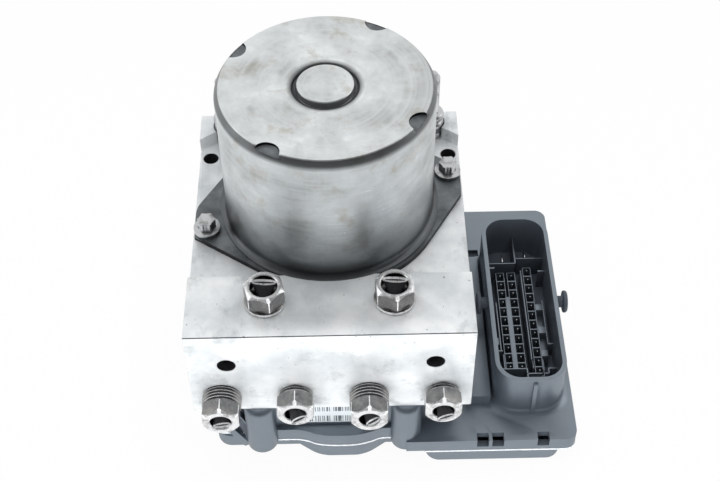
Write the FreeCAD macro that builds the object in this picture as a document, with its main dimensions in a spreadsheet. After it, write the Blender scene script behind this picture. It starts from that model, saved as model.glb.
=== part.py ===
import FreeCAD, Part
import math
import os
import re
import Sketcher

# Hydraulic unit of an anti-lock brake system: an aluminium block with a pump motor on top,
# brake line nuts in its front and top, and a plastic control unit below and to the right.
# Frame: X to the right, Y to the back, Z up. The origin lies on the underside of the
# control unit's cover, straight below the motor's axis. All sizes are millimetres.

SIZES = {
    # aluminium block: front and back are distances from the motor's axis
    "block_width": 92,
    "block_front": 61,
    "block_back": 40,
    "block_bottom": 30,
    "block_height": 39,
    "seat_drop": 5.4,
    "step_depth": 25,
    "recess_clearance": 0.6,
    "rear_arc_radius": 76,
    "rear_arc_centre": 33,
    # brake line ports
    "port_pitch": 24.1,
    "port_rise": 7.6,
    "port_depth": 9.5,
    "large_port_radius": 6,
    "small_port_radius": 5,
    "feed_radius": 1.5,
    "feed_depth": 5,
    "inlet_spacing": 41.2,
    "inlet_setback": 14,
    "inlet_depth": 12,
    "inlet_feed_depth": 21,
    # mounting holes and studs
    "front_hole_spacing": 66.9,
    "front_hole_drop": 14.8,
    "front_hole_radius": 3,
    "front_hole_depth": 14,
    "rear_hole_spacing": 84.4,
    "rear_hole_setback": 16.4,
    "rear_hole_radius": 2.65,
    "rear_hole_depth": 12,
    "stud_spacing": 72.6,
    "stud_setback": 5,
    "stud_radius": 3,
    "stud_shank_radius": 2.6,
    "stud_collar_radius": 4.8,
    "stud_collar_height": 10.8,
    "stud_height": 27.6,
    "stud_depth": 11,
    "stud_chamfer": 0.8,
    "bead_depth": 1,
    "bead_width": 0.6,
    # tube nuts
    "nut_flats": 11.9,
    "nut_hex_length": 5.6,
    "long_collar_length": 5,
    "long_collar_radius": 6.5,
    "short_collar_length": 2.4,
    "short_collar_radius": 5.6,
    "nut_bore_radius": 2.6,
    "nut_mouth_radius": 3.5,
    "inlet_mouth_radius": 4.4,
    "nut_mouth_depth": 5,
    "inlet_hex_length": 6.4,
    "inlet_collar_length": 1.8,
    "inlet_collar_radius": 6.6,
    "nut_chamfer": 0.9,
    "pipe_radius": 2.35,
    "pipe_wall": 0.7,
    "pipe_length": 13,
    "pipe_flat_width": 5.8,
    "pipe_flat_thickness": 1.7,
    "pipe_flat_length": 2.6,
    "pipe_flat_offset": 0.8,
    "pipe_flat_turn": 30,
    "pipe_recess": 0.3,
    # motor housing
    "can_radius": 35.2,
    "can_wall": 1.8,
    "can_height": 55,
    "can_top": 2,
    "can_round": 1.4,
    "can_flat_drop": 0.4,
    "flange_width": 3,
    "flange_thickness": 1,
    "flange_step": 0.5,
    "flange_step_width": 1.8,
    "ear_margin": 4.3,
    "ear_rise": 10,
    "ear_drop": 2.7,
    "dish_margin": 4.2,
    "dish_depth": 0.5,
    "dish_slope": 1,
    "notch_inset": 0.6,
    "hub_dish_radius": 10.8,
    "hub_radius": 9.1,
    "hub_height": 0.5,
    "hub_chamfer": 0.3,
    "hub_wall": 1.6,
    "inner_chamfer": 1,
    "notch_radius": 4.2,
    "notch_depth": 1.2,
    "shield_thickness": 1.2,
    "shield_hole_radius": 6,
    "screw_edge_distance": 4.8,
    "motor_screw_y": 12.4,
    "motor_screw_radius": 2.5,
    "motor_screw_depth": 12,
    "screw_washer_radius": 4.5,
    "screw_washer_height": 1.3,
    "screw_head_radius": 3.1,
    "screw_head_height": 3.6,
    # motor inside
    "motor_bore_radius": 11,
    "motor_bore_depth": 23.6,
    "shaft_radius": 4,
    "journal_radius": 5.2,
    "eccentric_offset": 1,
    "journal_length": 8,
    "tail_radius": 2.5,
    "tail_length": 8,
    "tail_bore_depth": 5,
    "rear_journal_radius": 3,
    "rear_shoulder_gap": 1,
    "ring_radius": 7.2,
    "ring_width": 7,
    "front_bearing_radius": 9.5,
    "bearing_width": 6,
    "rear_bearing_radius": 8,
    "rear_bearing_width": 5,
    "magnet_thickness": 6,
    "magnet_height": 34,
    "magnet_rise": 9,
    "magnet_clearance": 0.1,
    "air_gap": 0.8,
    "magnet_angle": 140,
    "armature_height": 22,
    "armature_slots": 12,
    "slot_width": 5,
    "slot_depth": 12,
    "tooth_tip": 1,
    "winding_height": 5,
    "winding_inset": 2,
    "winding_distance": 4,
    "commutator_radius": 9,
    "commutator_height": 7,
    "commutator_rise": 0.8,
    "brush_width": 6,
    "brush_height": 5,
    "brush_length": 10,
    "brush_plate_thickness": 1.5,
    "brush_plate_gap": 0.5,
    # pump
    "pump_rise": 19,
    "piston_radius": 4,
    "piston_length": 16,
    "piston_gap": 0.05,
    "piston_chamfer": 0.5,
    "pump_cavity_radius": 7,
    "pump_cavity_start": 24,
    "plug_length": 10,
    "plug_rim": 1.6,
    "plug_dish": 0.8,
    "spring_wire": 0.5,
    "pump_spring_radius": 3.2,
    "pump_spring_turns": 5,
    # low pressure chambers
    "chamber_spacing": 48,
    "chamber_rise": 14,
    "chamber_radius": 9,
    "chamber_depth": 26,
    "chamber_piston_length": 8,
    "chamber_gap": 0.6,
    "piston_rim": 2,
    "piston_dish": 2,
    "cap_rim": 3,
    "cap_dish": 1,
    "chamber_cap_length": 5,
    "chamber_spring_radius": 5.5,
    "chamber_spring_turns": 4,
    # valves
    "valve_inner_x": 11,
    "valve_outer_x": 32,
    "valve_front_row": 44,
    "valve_rear_row": 22,
    "valve_radius": 6,
    "valve_seat_depth": 12,
    "valve_stem_radius": 3.9,
    "valve_stem_length": 14.5,
    "valve_wall": 0.9,
    "valve_chamfer": 1,
    "valve_shoulder": 0.8,
    "valve_top_gap": 0.2,
    "plunger_length": 10,
    "plunger_gap": 0.4,
    "needle_tip": 0.6,
    "needle_radius": 0.8,
    "needle_length": 11,
    "coil_radius": 7.4,
    "coil_height": 13,
    "coil_plate": 1.2,
    "coil_gap": 0.9,
    "coil_clearance": 0.15,
    "coil_recess": 0.9,
    # galleries closed by balls
    "gallery_radius": 1.5,
    "gallery_rise": 6,
    "ball_radius": 2.5,
    "rear_gallery_y": 10.5,
    # control unit housing
    "cover_height": 6.5,
    "seal_height": 1,
    "deck_height": 13,
    "deck_thickness": 2.5,
    "rim_wall": 2.5,
    "unit_left": 42,
    "unit_right": 83.3,
    "unit_back": 42,
    "left_front": 55.2,
    "mid_front": 58.4,
    "bulge_front": 61.2,
    "right_front": 64.4,
    "bulge_start": 5,
    "bulge_end": 10.5,
    "bulge_slope": 5.3,
    "right_start": 24.7,
    "corner_radius": 4,
    "riser_half_width": 42,
    "riser_front": 56.2,
    "riser_side_front": 54.6,
    "riser_back": 37,
    "riser_wall": 1.8,
    "gasket_height": 0.8,
    "gasket_width": 1.4,
    "column_x": 24.7,
    "column_y": 58.5,
    "column_radius": 5.25,
    "rear_boss_x": 36,
    "rear_boss_y": 30,
    "unit_screw_radius": 1.75,
    "unit_screw_head_radius": 3.3,
    "unit_screw_head_height": 2.6,
    "unit_screw_depth": 11,
    "unit_socket_depth": 1.5,
    "board_thickness": 1.6,
    "board_clearance": 2,
    "board_margin": 3,
    "cover_floor": 2,
    "counterbore_depth": 4.1,
    "cover_margin": 1,
    "cover_side_margin": 5,
    "seal_inset": 0.6,
    "cover_step_shift": 6.7,
    "cover_bulge_run": 2,
    # connector
    "shroud_left": 55.4,
    "shroud_right": 79.8,
    "shroud_front": 53,
    "shroud_back": 22,
    "shroud_height": 18.6,
    "shroud_wall": 1.5,
    "shroud_round": 8.5,
    "partition_height": 9,
    "partition_wall": 0.9,
    "partition_offset": 1.6,
    "partition_gap": 2.8,
    "partition_step": 2.3,
    "guide_wall": 1,
    "guide_offset": 3,
    "rib_thickness": 1.4,
    "rib_shift": 0.2,
    "rib_drop": 1.5,
    "rib_reach": 1,
    "peg_rise": 14,
    "peg_neck_radius": 2.1,
    "peg_neck_length": 2.4,
    "peg_head_radius": 4,
    "peg_head_thickness": 1.5,
    "ridge_left": 46.5,
    "ridge_right": 54.4,
    "ridge_front": 49.2,
    "ridge_back": 14.5,
    "ridge_height": 4.6,
    "groove_width": 3.4,
    "groove_depth": 1.6,
    "groove_distance": 4,
    "notch_width": 4,
    "notch_length": 3.2,
    "notch_height": 2.6,
    "notch_one_x": 48.9,
    "notch_two_x": 54.1,
    "notch_three_x": 69.6,
    "gusset_length": 7,
    "gusset_depth": 3.4,
    "gusset_thickness": 1.1,
    "gusset_slope": 52,
    "gusset_upper_rise": 9.5,
    "gusset_lower_rise": 1.5,
    "gusset_distance": 3.6,
    "pin_pitch": 4.14,
    "pin_count": 11,
    "third_column_shift": 2.3,
    "pin_width": 0.7,
    "pin_rise": 7,
    "pin_first_y": 2.9,
    "pin_column_a": 62.1,
    "pin_column_b": 66.2,
    "pin_column_c": 72.2,
    "blade_width": 3.6,
    "blade_thickness": 0.8,
    "blade_shift": 1.5,
    "label_width": 22,
    "label_height": 13.5,
    "label_thickness": 0.2,
    "label_rise": 1.5,
    "label_shift": 4,
    # fits
    "running_clearance": 0.03,
    "snug_clearance": 0.02,
    "free_clearance": 0.3,
    # how far a cutter reaches past a face, and how deep joined pieces sink into each other
    "past": 1,
    "bite": 0.5,
}

# Heights used by several pieces
BLOCK_TOP = "(block_bottom + block_height)"
SEAT = "(block_bottom + block_height - seat_drop)"
SHIELD_TOP = "(%s + shield_thickness)" % SEAT
CAN_TOP = "(%s + can_height)" % SEAT
PUMP_Z = "(block_bottom + pump_rise)"
HOUSING_BOTTOM = "(cover_height + seal_height)"
FLANGE_RADIUS = "(can_radius + flange_width)"
CAN_INSIDE = "(can_radius - can_wall)"
DISH_RADIUS = "(can_radius - dish_margin)"
MOTOR_SCREW_X = "(block_width / 2 - screw_edge_distance)"
MAGNET_OUTSIDE = "(can_radius - can_wall - magnet_clearance)"
ARMATURE_RADIUS = "(%s - magnet_thickness - air_gap)" % MAGNET_OUTSIDE
WORD = re.compile(r"[a-z][a-z0-9_]*")
TURNS = {
    "Z": FreeCAD.Rotation(),
    "-Z": FreeCAD.Rotation(FreeCAD.Vector(1, 0, 0), 180),
    "X": FreeCAD.Rotation(FreeCAD.Vector(0, 1, 0), 90),
    "-X": FreeCAD.Rotation(FreeCAD.Vector(0, 1, 0), -90),
    "Y": FreeCAD.Rotation(FreeCAD.Vector(1, 0, 0), -90),
    "-Y": FreeCAD.Rotation(FreeCAD.Vector(1, 0, 0), 90),
}
SIDES = {"left": "-1", "right": "1"}

os.makedirs("parts", exist_ok=True)
doc = FreeCAD.newDocument("brake_unit")
sheet = doc.addObject("Spreadsheet::Sheet", "Size")
nodes = []


# Driving dimensions and expressions
def fill_sheet():
    for row, (alias, value) in enumerate(SIZES.items(), start=1):
        sheet.set("A%d" % row, alias)
        sheet.set("B%d" % row, str(value))
        sheet.setAlias("B%d" % row, alias)
    doc.recompute()


def expr(text):
    return WORD.sub(lambda hit: "Size." + hit.group() if hit.group() in SIZES else hit.group(), str(text))


def number(text):
    return float(sheet.evalExpression(expr(text)))


def bind(thing, **sizes):
    for prop, text in sizes.items():
        thing.setExpression(prop, expr(text))
    return thing


def place(thing, x="0", y="0", z="0", axis="Z", spin=0):
    about_own_axis = FreeCAD.Rotation(FreeCAD.Vector(0, 0, 1), spin)
    thing.Placement = FreeCAD.Placement(FreeCAD.Vector(), TURNS[axis].multiply(about_own_axis))
    for letter, text in (("x", x), ("y", y), ("z", z)):
        thing.setExpression("Placement.Base." + letter, expr(text))
    return thing


def node(thing):
    thing.Label = thing.Name
    nodes.append(thing)
    return thing


# Primitives and booleans
def cylinder(name, radius, height, x="0", y="0", z="0", axis="Z"):
    rod = doc.addObject("Part::Cylinder", name)
    bind(rod, Radius=radius, Height=height)
    return place(rod, x, y, z, axis)


def box(name, x0, x1, y0, y1, z0, z1):
    brick = doc.addObject("Part::Box", name)
    spans = {"Length": (x1, x0), "Width": (y1, y0), "Height": (z1, z0)}
    bind(brick, **{prop: "(%s) - (%s)" % ends for prop, ends in spans.items()})
    return place(brick, x0, y0, z0)


def fuse(name, things):
    joined = doc.addObject("Part::MultiFuse", name)
    joined.Shapes = things
    joined.Refine = True
    return joined


def cut(name, base, tools):
    left = doc.addObject("Part::Cut", name)
    left.Base = base
    left.Tool = tools[0] if len(tools) == 1 else fuse(name + "_tools", tools)
    left.Refine = True
    return left


def common(name, first, second):
    shared = doc.addObject("Part::Common", name)
    shared.Base = first
    shared.Tool = second
    return shared


def group(name, things):
    several = doc.addObject("Part::Compound", name)
    several.Links = things
    return several


def tube(name, outer, inner, height, x="0", y="0", z="0", axis="Z"):
    rod = cylinder(name + "_outer", outer, height, x, y, z, axis)
    hole = cylinder(name + "_hole", inner, height, x, y, z, axis)
    return cut(name, rod, [hole])


# Bodies made from sketches
def new_body(name, x="0", y="0", z="0", axis="Z", spin=0):
    host = doc.addObject("PartDesign::Body", name)
    return place(host, x, y, z, axis, spin)


def base_plane(host, role):
    return next(item for item in host.Origin.OriginFeatures if item.Role == role)


def outline(host, name, role, points, offset="0"):
    sketch = host.newObject("Sketcher::SketchObject", name)
    sketch.AttachmentSupport = [(base_plane(host, role), "")]
    sketch.MapMode = "FlatFace"
    sketch.setExpression("AttachmentOffset.Base.z", expr(offset))
    corners = [FreeCAD.Vector(number(x), number(y), 0) for x, y in points]
    for index, corner in enumerate(corners):
        following = corners[(index + 1) % len(corners)]
        sketch.addGeometry(Part.LineSegment(corner, following), False)
    for index in range(len(corners)):
        sketch.addConstraint(Sketcher.Constraint("Coincident", index, 2, (index + 1) % len(corners), 1))
    for index, (x, y) in enumerate(points):
        for kind, text in (("DistanceX", x), ("DistanceY", y)):
            made = sketch.addConstraint(Sketcher.Constraint(kind, -1, 1, index, 1, number(text)))
            sketch.setExpression("Constraints[%d]" % made, expr(text))
    return sketch


def pad(host, name, points, length, offset="0"):
    sketch = outline(host, name + "_sketch", "XY_Plane", points, offset)
    feature = host.newObject("PartDesign::Pad", name)
    feature.Profile = sketch
    bind(feature, Length=length)
    return feature


def turned(host, name, points, kind="PartDesign::Revolution"):
    sketch = outline(host, name + "_sketch", "XZ_Plane", points)
    feature = host.newObject(kind, name)
    feature.Profile = sketch
    feature.ReferenceAxis = (sketch, ["V_Axis"])
    feature.Angle = 360
    return feature


def round_edges(host, name, radius, wanted, kind="PartDesign::Fillet"):
    doc.recompute()
    base = host.Tip
    edges = ["Edge%d" % (i + 1) for i, edge in enumerate(base.Shape.Edges) if wanted(edge)]
    if not edges:
        raise RuntimeError("no edge found for " + name)
    feature = host.newObject(kind, name)
    feature.Base = (base, edges)
    if kind == "PartDesign::Fillet":
        bind(feature, Radius=radius)
    else:
        bind(feature, Size=radius)
    return feature


def upright_at(places):
    def wanted(edge):
        first, last = edge.Vertexes[0].Point, edge.Vertexes[-1].Point
        if abs(first.x - last.x) > 1e-6 or abs(first.y - last.y) > 1e-6:
            return False
        return any(math.hypot(first.x - x, first.y - y) < 1e-4 for x, y in places)
    return wanted


def plate(name, points, low, thickness, rounds=(), radius="corner_radius"):
    host = new_body(name)
    pad(host, name + "_pad", points, thickness, low)
    if rounds:
        places = [(number(points[i][0]), number(points[i][1])) for i in rounds]
        round_edges(host, name + "_round", radius, upright_at(places))
    return host


def rectangle(x0, x1, y0, y1):
    return [(x0, y0), (x1, y0), (x1, y1), (x0, y1)]


# Aluminium block
def seat_cutters():
    half = "(block_width / 2)"
    low_part = box("seat_box", "-%s - past" % half, half + " + past", "step_depth - block_front",
                   "block_back + past", SEAT, BLOCK_TOP + " + past")
    arc = cylinder("rear_arc", "rear_arc_radius", "seat_drop + past", y="-rear_arc_centre", z=SEAT)
    recess = cylinder("flange_recess", FLANGE_RADIUS + " + recess_clearance", "seat_drop + past", z=SEAT)
    return [common("seat_area", low_part, arc), recess]


def port_places():
    return {1: "-1.5 * port_pitch", 2: "-0.5 * port_pitch", 3: "0.5 * port_pitch", 4: "1.5 * port_pitch"}


def port_radius(index):
    return "large_port_radius" if index % 2 else "small_port_radius"


def valve_places():
    columns = ["-valve_outer_x", "-valve_inner_x", "valve_inner_x", "valve_outer_x"]
    return [(x, "-" + row) for row in ("valve_front_row", "valve_rear_row") for x in columns]


def unit_screw_places():
    front = [(sign + " * column_x", "-column_y") for sign in SIDES.values()]
    rear = [(sign + " * rear_boss_x", "rear_boss_y") for sign in SIDES.values()]
    return front + rear


def motor_screw_place(sign):
    return sign + " * " + MOTOR_SCREW_X, sign + " * motor_screw_y"


def line_port_cutters():
    tools = []
    for index, x in port_places().items():
        z = "block_bottom + port_rise"
        tools.append(cylinder("port_%d" % index, port_radius(index), "port_depth", x, "-block_front", z, "Y"))
        tools.append(cylinder("feed_%d" % index, "feed_radius", "port_depth + feed_depth", x, "-block_front",
                              z, "Y"))
    for side, sign in SIDES.items():
        x = sign + " * inlet_spacing / 2"
        y = "inlet_setback - block_front"
        tools.append(cylinder("inlet_port_" + side, "large_port_radius", "inlet_depth", x, y, BLOCK_TOP,
                              "-Z"))
        tools.append(cylinder("inlet_feed_" + side, "feed_radius", "inlet_depth + inlet_feed_depth", x, y,
                              BLOCK_TOP, "-Z"))
    return tools


def mounting_cutters():
    tools = []
    for side, sign in SIDES.items():
        tools.append(cylinder("front_hole_" + side, "front_hole_radius", "front_hole_depth",
                              sign + " * front_hole_spacing / 2", "-block_front",
                              BLOCK_TOP + " - front_hole_drop", "Y"))
        tools.append(cylinder("rear_hole_" + side, "rear_hole_radius", "rear_hole_depth",
                              sign + " * rear_hole_spacing / 2", "block_back - rear_hole_setback", SEAT,
                              "-Z"))
        stud_x = sign + " * stud_spacing / 2"
        stud_y = "block_back - stud_setback"
        tools.append(cylinder("stud_hole_" + side, "stud_shank_radius + snug_clearance",
                              "stud_depth + free_clearance", stud_x, stud_y, SEAT, "-Z"))
        tools.append(cylinder("stud_pocket_" + side, "stud_collar_radius + free_clearance",
                              "seat_drop + past", stud_x, stud_y, SEAT))
        tools.append(cylinder("motor_hole_" + side, "motor_screw_radius + snug_clearance",
                              "motor_screw_depth + past", *motor_screw_place(sign), SEAT, "-Z"))
    for index, (x, y) in enumerate(unit_screw_places()):
        tools.append(cylinder("unit_hole_%d" % index, "unit_screw_radius + snug_clearance",
                              "unit_screw_depth", x, y, "block_bottom"))
    return tools


def inner_cutters():
    tools = [
        cylinder("motor_bore", "motor_bore_radius", "motor_bore_depth", z=SEAT, axis="-Z"),
        cylinder("tail_bore", "tail_radius + running_clearance", "motor_bore_depth + tail_bore_depth",
                 z=SEAT, axis="-Z"),
        cylinder("pump_bore", "piston_radius + running_clearance", "2 * pump_cavity_start",
                 "-pump_cavity_start", "0", PUMP_Z, "X"),
    ]
    for side, sign in SIDES.items():
        outward = "X" if side == "right" else "-X"
        tools.append(cylinder("pump_cavity_" + side, "pump_cavity_radius",
                              "block_width / 2 - pump_cavity_start", sign + " * pump_cavity_start", "0",
                              PUMP_Z, outward))
        tools.append(cylinder("chamber_" + side, "chamber_radius", "chamber_depth",
                              sign + " * chamber_spacing / 2", "block_back", "block_bottom + chamber_rise",
                              "-Y"))
    for index, (x, y) in enumerate(valve_places(), start=1):
        tools.append(cylinder("valve_bore_%d" % index, "valve_radius", "valve_seat_depth", x, y,
                              "block_bottom"))
    return tools


def gallery_rows():
    return {"front": "-(valve_front_row + valve_rear_row) / 2", "rear": "-rear_gallery_y"}


def gallery_cutters():
    tools = []
    for row, y in gallery_rows().items():
        z = "block_bottom + gallery_rise"
        tools.append(cylinder("gallery_" + row, "gallery_radius", "block_width", "-block_width / 2", y, z,
                              "X"))
        for side, sign in SIDES.items():
            tools.append(cylinder("ball_seat_%s_%s" % (row, side), "ball_radius", "2 * ball_radius",
                                  sign + " * block_width / 2", y, z, "-X" if side == "right" else "X"))
    return tools


def make_block():
    raw = box("block_billet", "-block_width / 2", "block_width / 2", "-block_front", "block_back",
              "block_bottom", BLOCK_TOP)
    tools = seat_cutters() + line_port_cutters() + mounting_cutters() + inner_cutters() + gallery_cutters()
    node(cut("hydraulic_block", raw, tools))


# Tube nuts and the cut-off brake pipes
def hexagon(flats):
    return [("%s / sqrt(3) * cos(%d)" % (flats, angle), "%s / sqrt(3) * sin(%d)" % (flats, angle))
            for angle in range(30, 390, 60)]


def collar_size(index):
    kind = "long" if index % 2 else "short"
    return kind + "_collar_length", kind + "_collar_radius"


def make_nut(name, port, depth, collar, rim, hex_length, mouth, x, y, z, axis):
    host = new_body(name, x, y, z, axis)
    top = "%s + %s" % (collar, hex_length)
    thread = "%s - snug_clearance" % port
    turned(host, name + "_thread", [("0", "free_clearance - " + depth), (thread, "free_clearance - " + depth),
                                    (thread, "0"), (rim, "0"), (rim, collar), ("0", collar)])
    pad(host, name + "_hex", hexagon("nut_flats"), hex_length, collar)
    corner = "nut_flats / sqrt(3) + past"
    edge = "nut_flats / 2 - nut_chamfer / 3"
    turned(host, name + "_chamfer", [(edge, top), (corner, top), (corner, "%s - nut_chamfer" % top)],
           "PartDesign::Groove")
    seat = mouth + " - nut_bore_radius"
    turned(host, name + "_bore", [("0", "-%s - past" % depth), ("nut_bore_radius", "-%s - past" % depth),
                                  ("nut_bore_radius", "%s - nut_mouth_depth" % top),
                                  (mouth, "%s - nut_mouth_depth + %s" % (top, seat)),
                                  (mouth, "%s + past" % top), ("0", "%s + past" % top)],
           "PartDesign::Groove")
    return node(host)


def make_pipe(name, reach, side, x, y, z, axis):
    start = "%s - pipe_length" % reach
    host = new_body(name, x, y, z, axis, SIZES["pipe_flat_turn"])
    turned(host, name + "_tube", [("pipe_radius - pipe_wall", start), ("pipe_radius", start),
                                  ("pipe_radius", "%s - pipe_flat_length" % reach),
                                  ("pipe_radius - pipe_wall", "%s - pipe_flat_length" % reach)])
    middle = side + " * pipe_flat_offset"
    strip = rectangle("-pipe_flat_width / 2", "pipe_flat_width / 2", middle + " - pipe_flat_thickness / 2",
                      middle + " + pipe_flat_thickness / 2")
    pad(host, name + "_squashed_end", strip, "pipe_flat_length", "%s - pipe_flat_length" % reach)
    return node(host)


def make_line_fittings():
    for index, x in port_places().items():
        where = (x, "-block_front", "block_bottom + port_rise", "-Y")
        collar, rim = collar_size(index)
        make_nut("outlet_nut_%d" % index, port_radius(index), "port_depth", collar, rim,
                 "nut_hex_length", "nut_mouth_radius", *where)
        make_pipe("outlet_pipe_%d" % index, "(%s + nut_hex_length - pipe_recess)" % collar, "-1", *where)
    for side, sign in SIDES.items():
        where = (sign + " * inlet_spacing / 2", "inlet_setback - block_front", BLOCK_TOP, "Z")
        make_nut("inlet_nut_" + side, "large_port_radius", "inlet_depth", "inlet_collar_length",
                 "inlet_collar_radius", "inlet_hex_length", "inlet_mouth_radius", *where)
        make_pipe("inlet_pipe_" + side, "(inlet_collar_length + inlet_hex_length - pipe_recess)", "1",
                  *where)


# Mounting studs at the back
def make_studs():
    for side, sign in SIDES.items():
        host = new_body("mounting_stud_" + side, sign + " * stud_spacing / 2", "block_back - stud_setback",
                        SEAT)
        rim = "stud_collar_radius"
        bead = "stud_collar_radius - bead_depth"
        third = "stud_collar_height / 3"
        turned(host, host.Name + "_profile", [
            ("0", "-stud_depth"), ("stud_shank_radius", "-stud_depth"), ("stud_shank_radius", "0"),
            (rim, "0"),
            (rim, third + " - bead_width"), (bead, third), (rim, third + " + bead_width"),
            (rim, "2 * %s - bead_width" % third), (bead, "2 * " + third),
            (rim, "2 * %s + bead_width" % third), (rim, "stud_collar_height"),
            ("stud_radius", "stud_collar_height"), ("stud_radius", "stud_height - stud_chamfer"),
            ("stud_radius - stud_chamfer", "stud_height"), ("0", "stud_height")])
        node(host)


# Motor housing with its eared flange
def tangent_point(x, y, turn):
    """Where a line from the corner (x, y) touches the flange's disc, on the side that turn names."""
    angle = "(atan2(%s; %s) %s acos(%s / hypot(%s; %s)))" % (y, x, turn, FLANGE_RADIUS, x, y)
    return "%s * cos%s" % (FLANGE_RADIUS, angle), "%s * sin%s" % (FLANGE_RADIUS, angle)


def ear_points():
    reach = "(%s + ear_margin)" % MOTOR_SCREW_X
    low = "(motor_screw_y - ear_rise)"
    high = "(motor_screw_y + ear_drop)"
    right = [tangent_point(reach, low, "-"), (reach, low), (reach, high), tangent_point(reach, high, "+")]
    return right + [("-(%s)" % x, "-(%s)" % y) for x, y in right]


def circle_pad(host, name, radius, length, offset):
    turned_ring = [("0", offset), (radius, offset), (radius, "%s + %s" % (offset, length)),
                   ("0", "%s + %s" % (offset, length))]
    return turned(host, name, turned_ring)


def eared_plate(name, low, thickness):
    host = new_body(name)
    pad(host, name + "_ears", ear_points(), thickness, low)
    circle_pad(host, name + "_disc", FLANGE_RADIUS, thickness, low)
    return host


def can_profile():
    inner = CAN_INSIDE
    under = CAN_TOP + " - can_top"
    hub_in = "(rear_bearing_radius + snug_clearance)"
    hub_out = "(%s + hub_wall)" % hub_in
    dish = CAN_TOP + " - dish_depth"
    return [
        (inner, SHIELD_TOP), ("can_radius", SHIELD_TOP), ("can_radius", CAN_TOP + " - can_round"),
        ("can_radius - can_round * 0.3", CAN_TOP + " - can_round * 0.3"),
        ("can_radius - can_round", CAN_TOP), (DISH_RADIUS, CAN_TOP), (DISH_RADIUS + " - dish_slope", dish),
        ("hub_dish_radius", dish), ("hub_radius", CAN_TOP + " + hub_height - hub_chamfer"),
        ("hub_radius - hub_chamfer", CAN_TOP + " + hub_height"), ("0", CAN_TOP + " + hub_height"),
        ("0", CAN_TOP + " - can_flat_drop"), (hub_in, CAN_TOP + " - can_flat_drop"),
        (hub_in, under + " - rear_bearing_width"), (hub_out, under + " - rear_bearing_width"),
        (hub_out, under), (inner + " - inner_chamfer", under), (inner, under + " - inner_chamfer"),
    ]


def make_can():
    shell = new_body("can_shell")
    turned(shell, "can_profile", can_profile())
    flange = eared_plate("can_flange", SHIELD_TOP, "flange_thickness")
    step_outline = eared_plate("can_step_outline", SHIELD_TOP, "flange_thickness + flange_step")
    step_disc = cylinder("can_step_disc", FLANGE_RADIUS + " + flange_step_width",
                         "flange_thickness + flange_step", z=SHIELD_TOP)
    step = common("can_step", step_outline, step_disc)
    inside = cylinder("can_inside", CAN_INSIDE, "flange_thickness + flange_step + 2 * past",
                      z=SHIELD_TOP + " - past")
    rim = cut("can_rim", fuse("can_rim_solid", [flange, step]), [inside])
    tools = []
    for index, angle in enumerate((149, 60, -31, -121)):
        reach = "(can_radius - notch_inset)"
        tools.append(cylinder("can_notch_%d" % index, "notch_radius", "notch_depth + past",
                              "%s * cos(%d)" % (reach, angle), "%s * sin(%d)" % (reach, angle),
                              CAN_TOP + " - notch_depth"))
    keep = cylinder("can_notch_keep", "can_radius - can_wall / 2", "notch_depth + 3 * past",
                    z=CAN_TOP + " - notch_depth - past")
    notches = common("can_notches", fuse("can_notch_discs", tools), keep)
    seats = [cylinder("can_screw_seat_" + side, "screw_washer_radius + free_clearance",
                      "flange_step + past", *motor_screw_place(sign), SHIELD_TOP + " + flange_thickness")
             for side, sign in SIDES.items()]
    node(cut("motor_can", fuse("can_whole", [shell, rim]), [notches] + seats + ear_hole_tools("can")))


def ear_hole_tools(name):
    return [cylinder("%s_ear_hole_%s" % (name, side), "motor_screw_radius + free_clearance",
                     "shield_thickness + flange_thickness + flange_step + 2 * past",
                     *motor_screw_place(sign), SEAT + " - past") for side, sign in SIDES.items()]


def make_end_shield():
    disc = eared_plate("shield_plate", SEAT, "shield_thickness")
    depth = "bearing_width + 2 * free_clearance"
    hub = cylinder("shield_hub", "motor_bore_radius - snug_clearance", depth, z=SEAT, axis="-Z")
    bearing_seat = cylinder("shield_seat", "front_bearing_radius + snug_clearance", depth, z=SEAT, axis="-Z")
    shaft_hole = cylinder("shield_hole", "shield_hole_radius", "shield_thickness + 2 * past",
                          z=SEAT + " - past")
    node(cut("motor_end_shield", fuse("shield_solid", [disc, hub]),
             [bearing_seat, shaft_hole] + ear_hole_tools("shield")))


def make_motor_screws():
    screws = []
    for side, sign in SIDES.items():
        seat = SHIELD_TOP + " + flange_thickness"
        x, y = motor_screw_place(sign)
        shank = "shield_thickness + flange_thickness + motor_screw_depth"
        washer = cylinder("motor_washer_" + side, "screw_washer_radius", "screw_washer_height", x, y, seat)
        rod = cylinder("motor_shank_" + side, "motor_screw_radius", shank, x, y, seat, "-Z")
        head = cylinder("motor_head_" + side, "screw_head_radius * 0.86",
                        "screw_washer_height + screw_head_height", x, y, seat)
        lobes = [cylinder("motor_lobe_%s_%d" % (side, angle), "screw_head_radius * 0.26",
                          "screw_washer_height + screw_head_height",
                          "%s + screw_head_radius * 0.74 * cos(%d)" % (x, angle),
                          "%s + screw_head_radius * 0.74 * sin(%d)" % (y, angle), seat)
                 for angle in range(0, 360, 60)]
        screws.append(fuse("motor_screw_" + side, [washer, rod, head] + lobes))
    node(group("motor_screws", screws))


# Rotor, magnets, brushes and bearings
MAGNET_BOTTOM = "(%s + magnet_rise)" % SHIELD_TOP
ARMATURE_BOTTOM = "(%s + (magnet_height - armature_height) / 2)" % MAGNET_BOTTOM
BEARING_BOTTOM = "(%s - bearing_width - free_clearance)" % SEAT
REAR_BEARING_TOP = "(%s - 2 * free_clearance)" % CAN_TOP
JOURNAL_BOTTOM = "(%s - journal_length / 2)" % PUMP_Z
JOURNAL_TOP = "(%s + journal_length / 2)" % PUMP_Z


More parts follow.
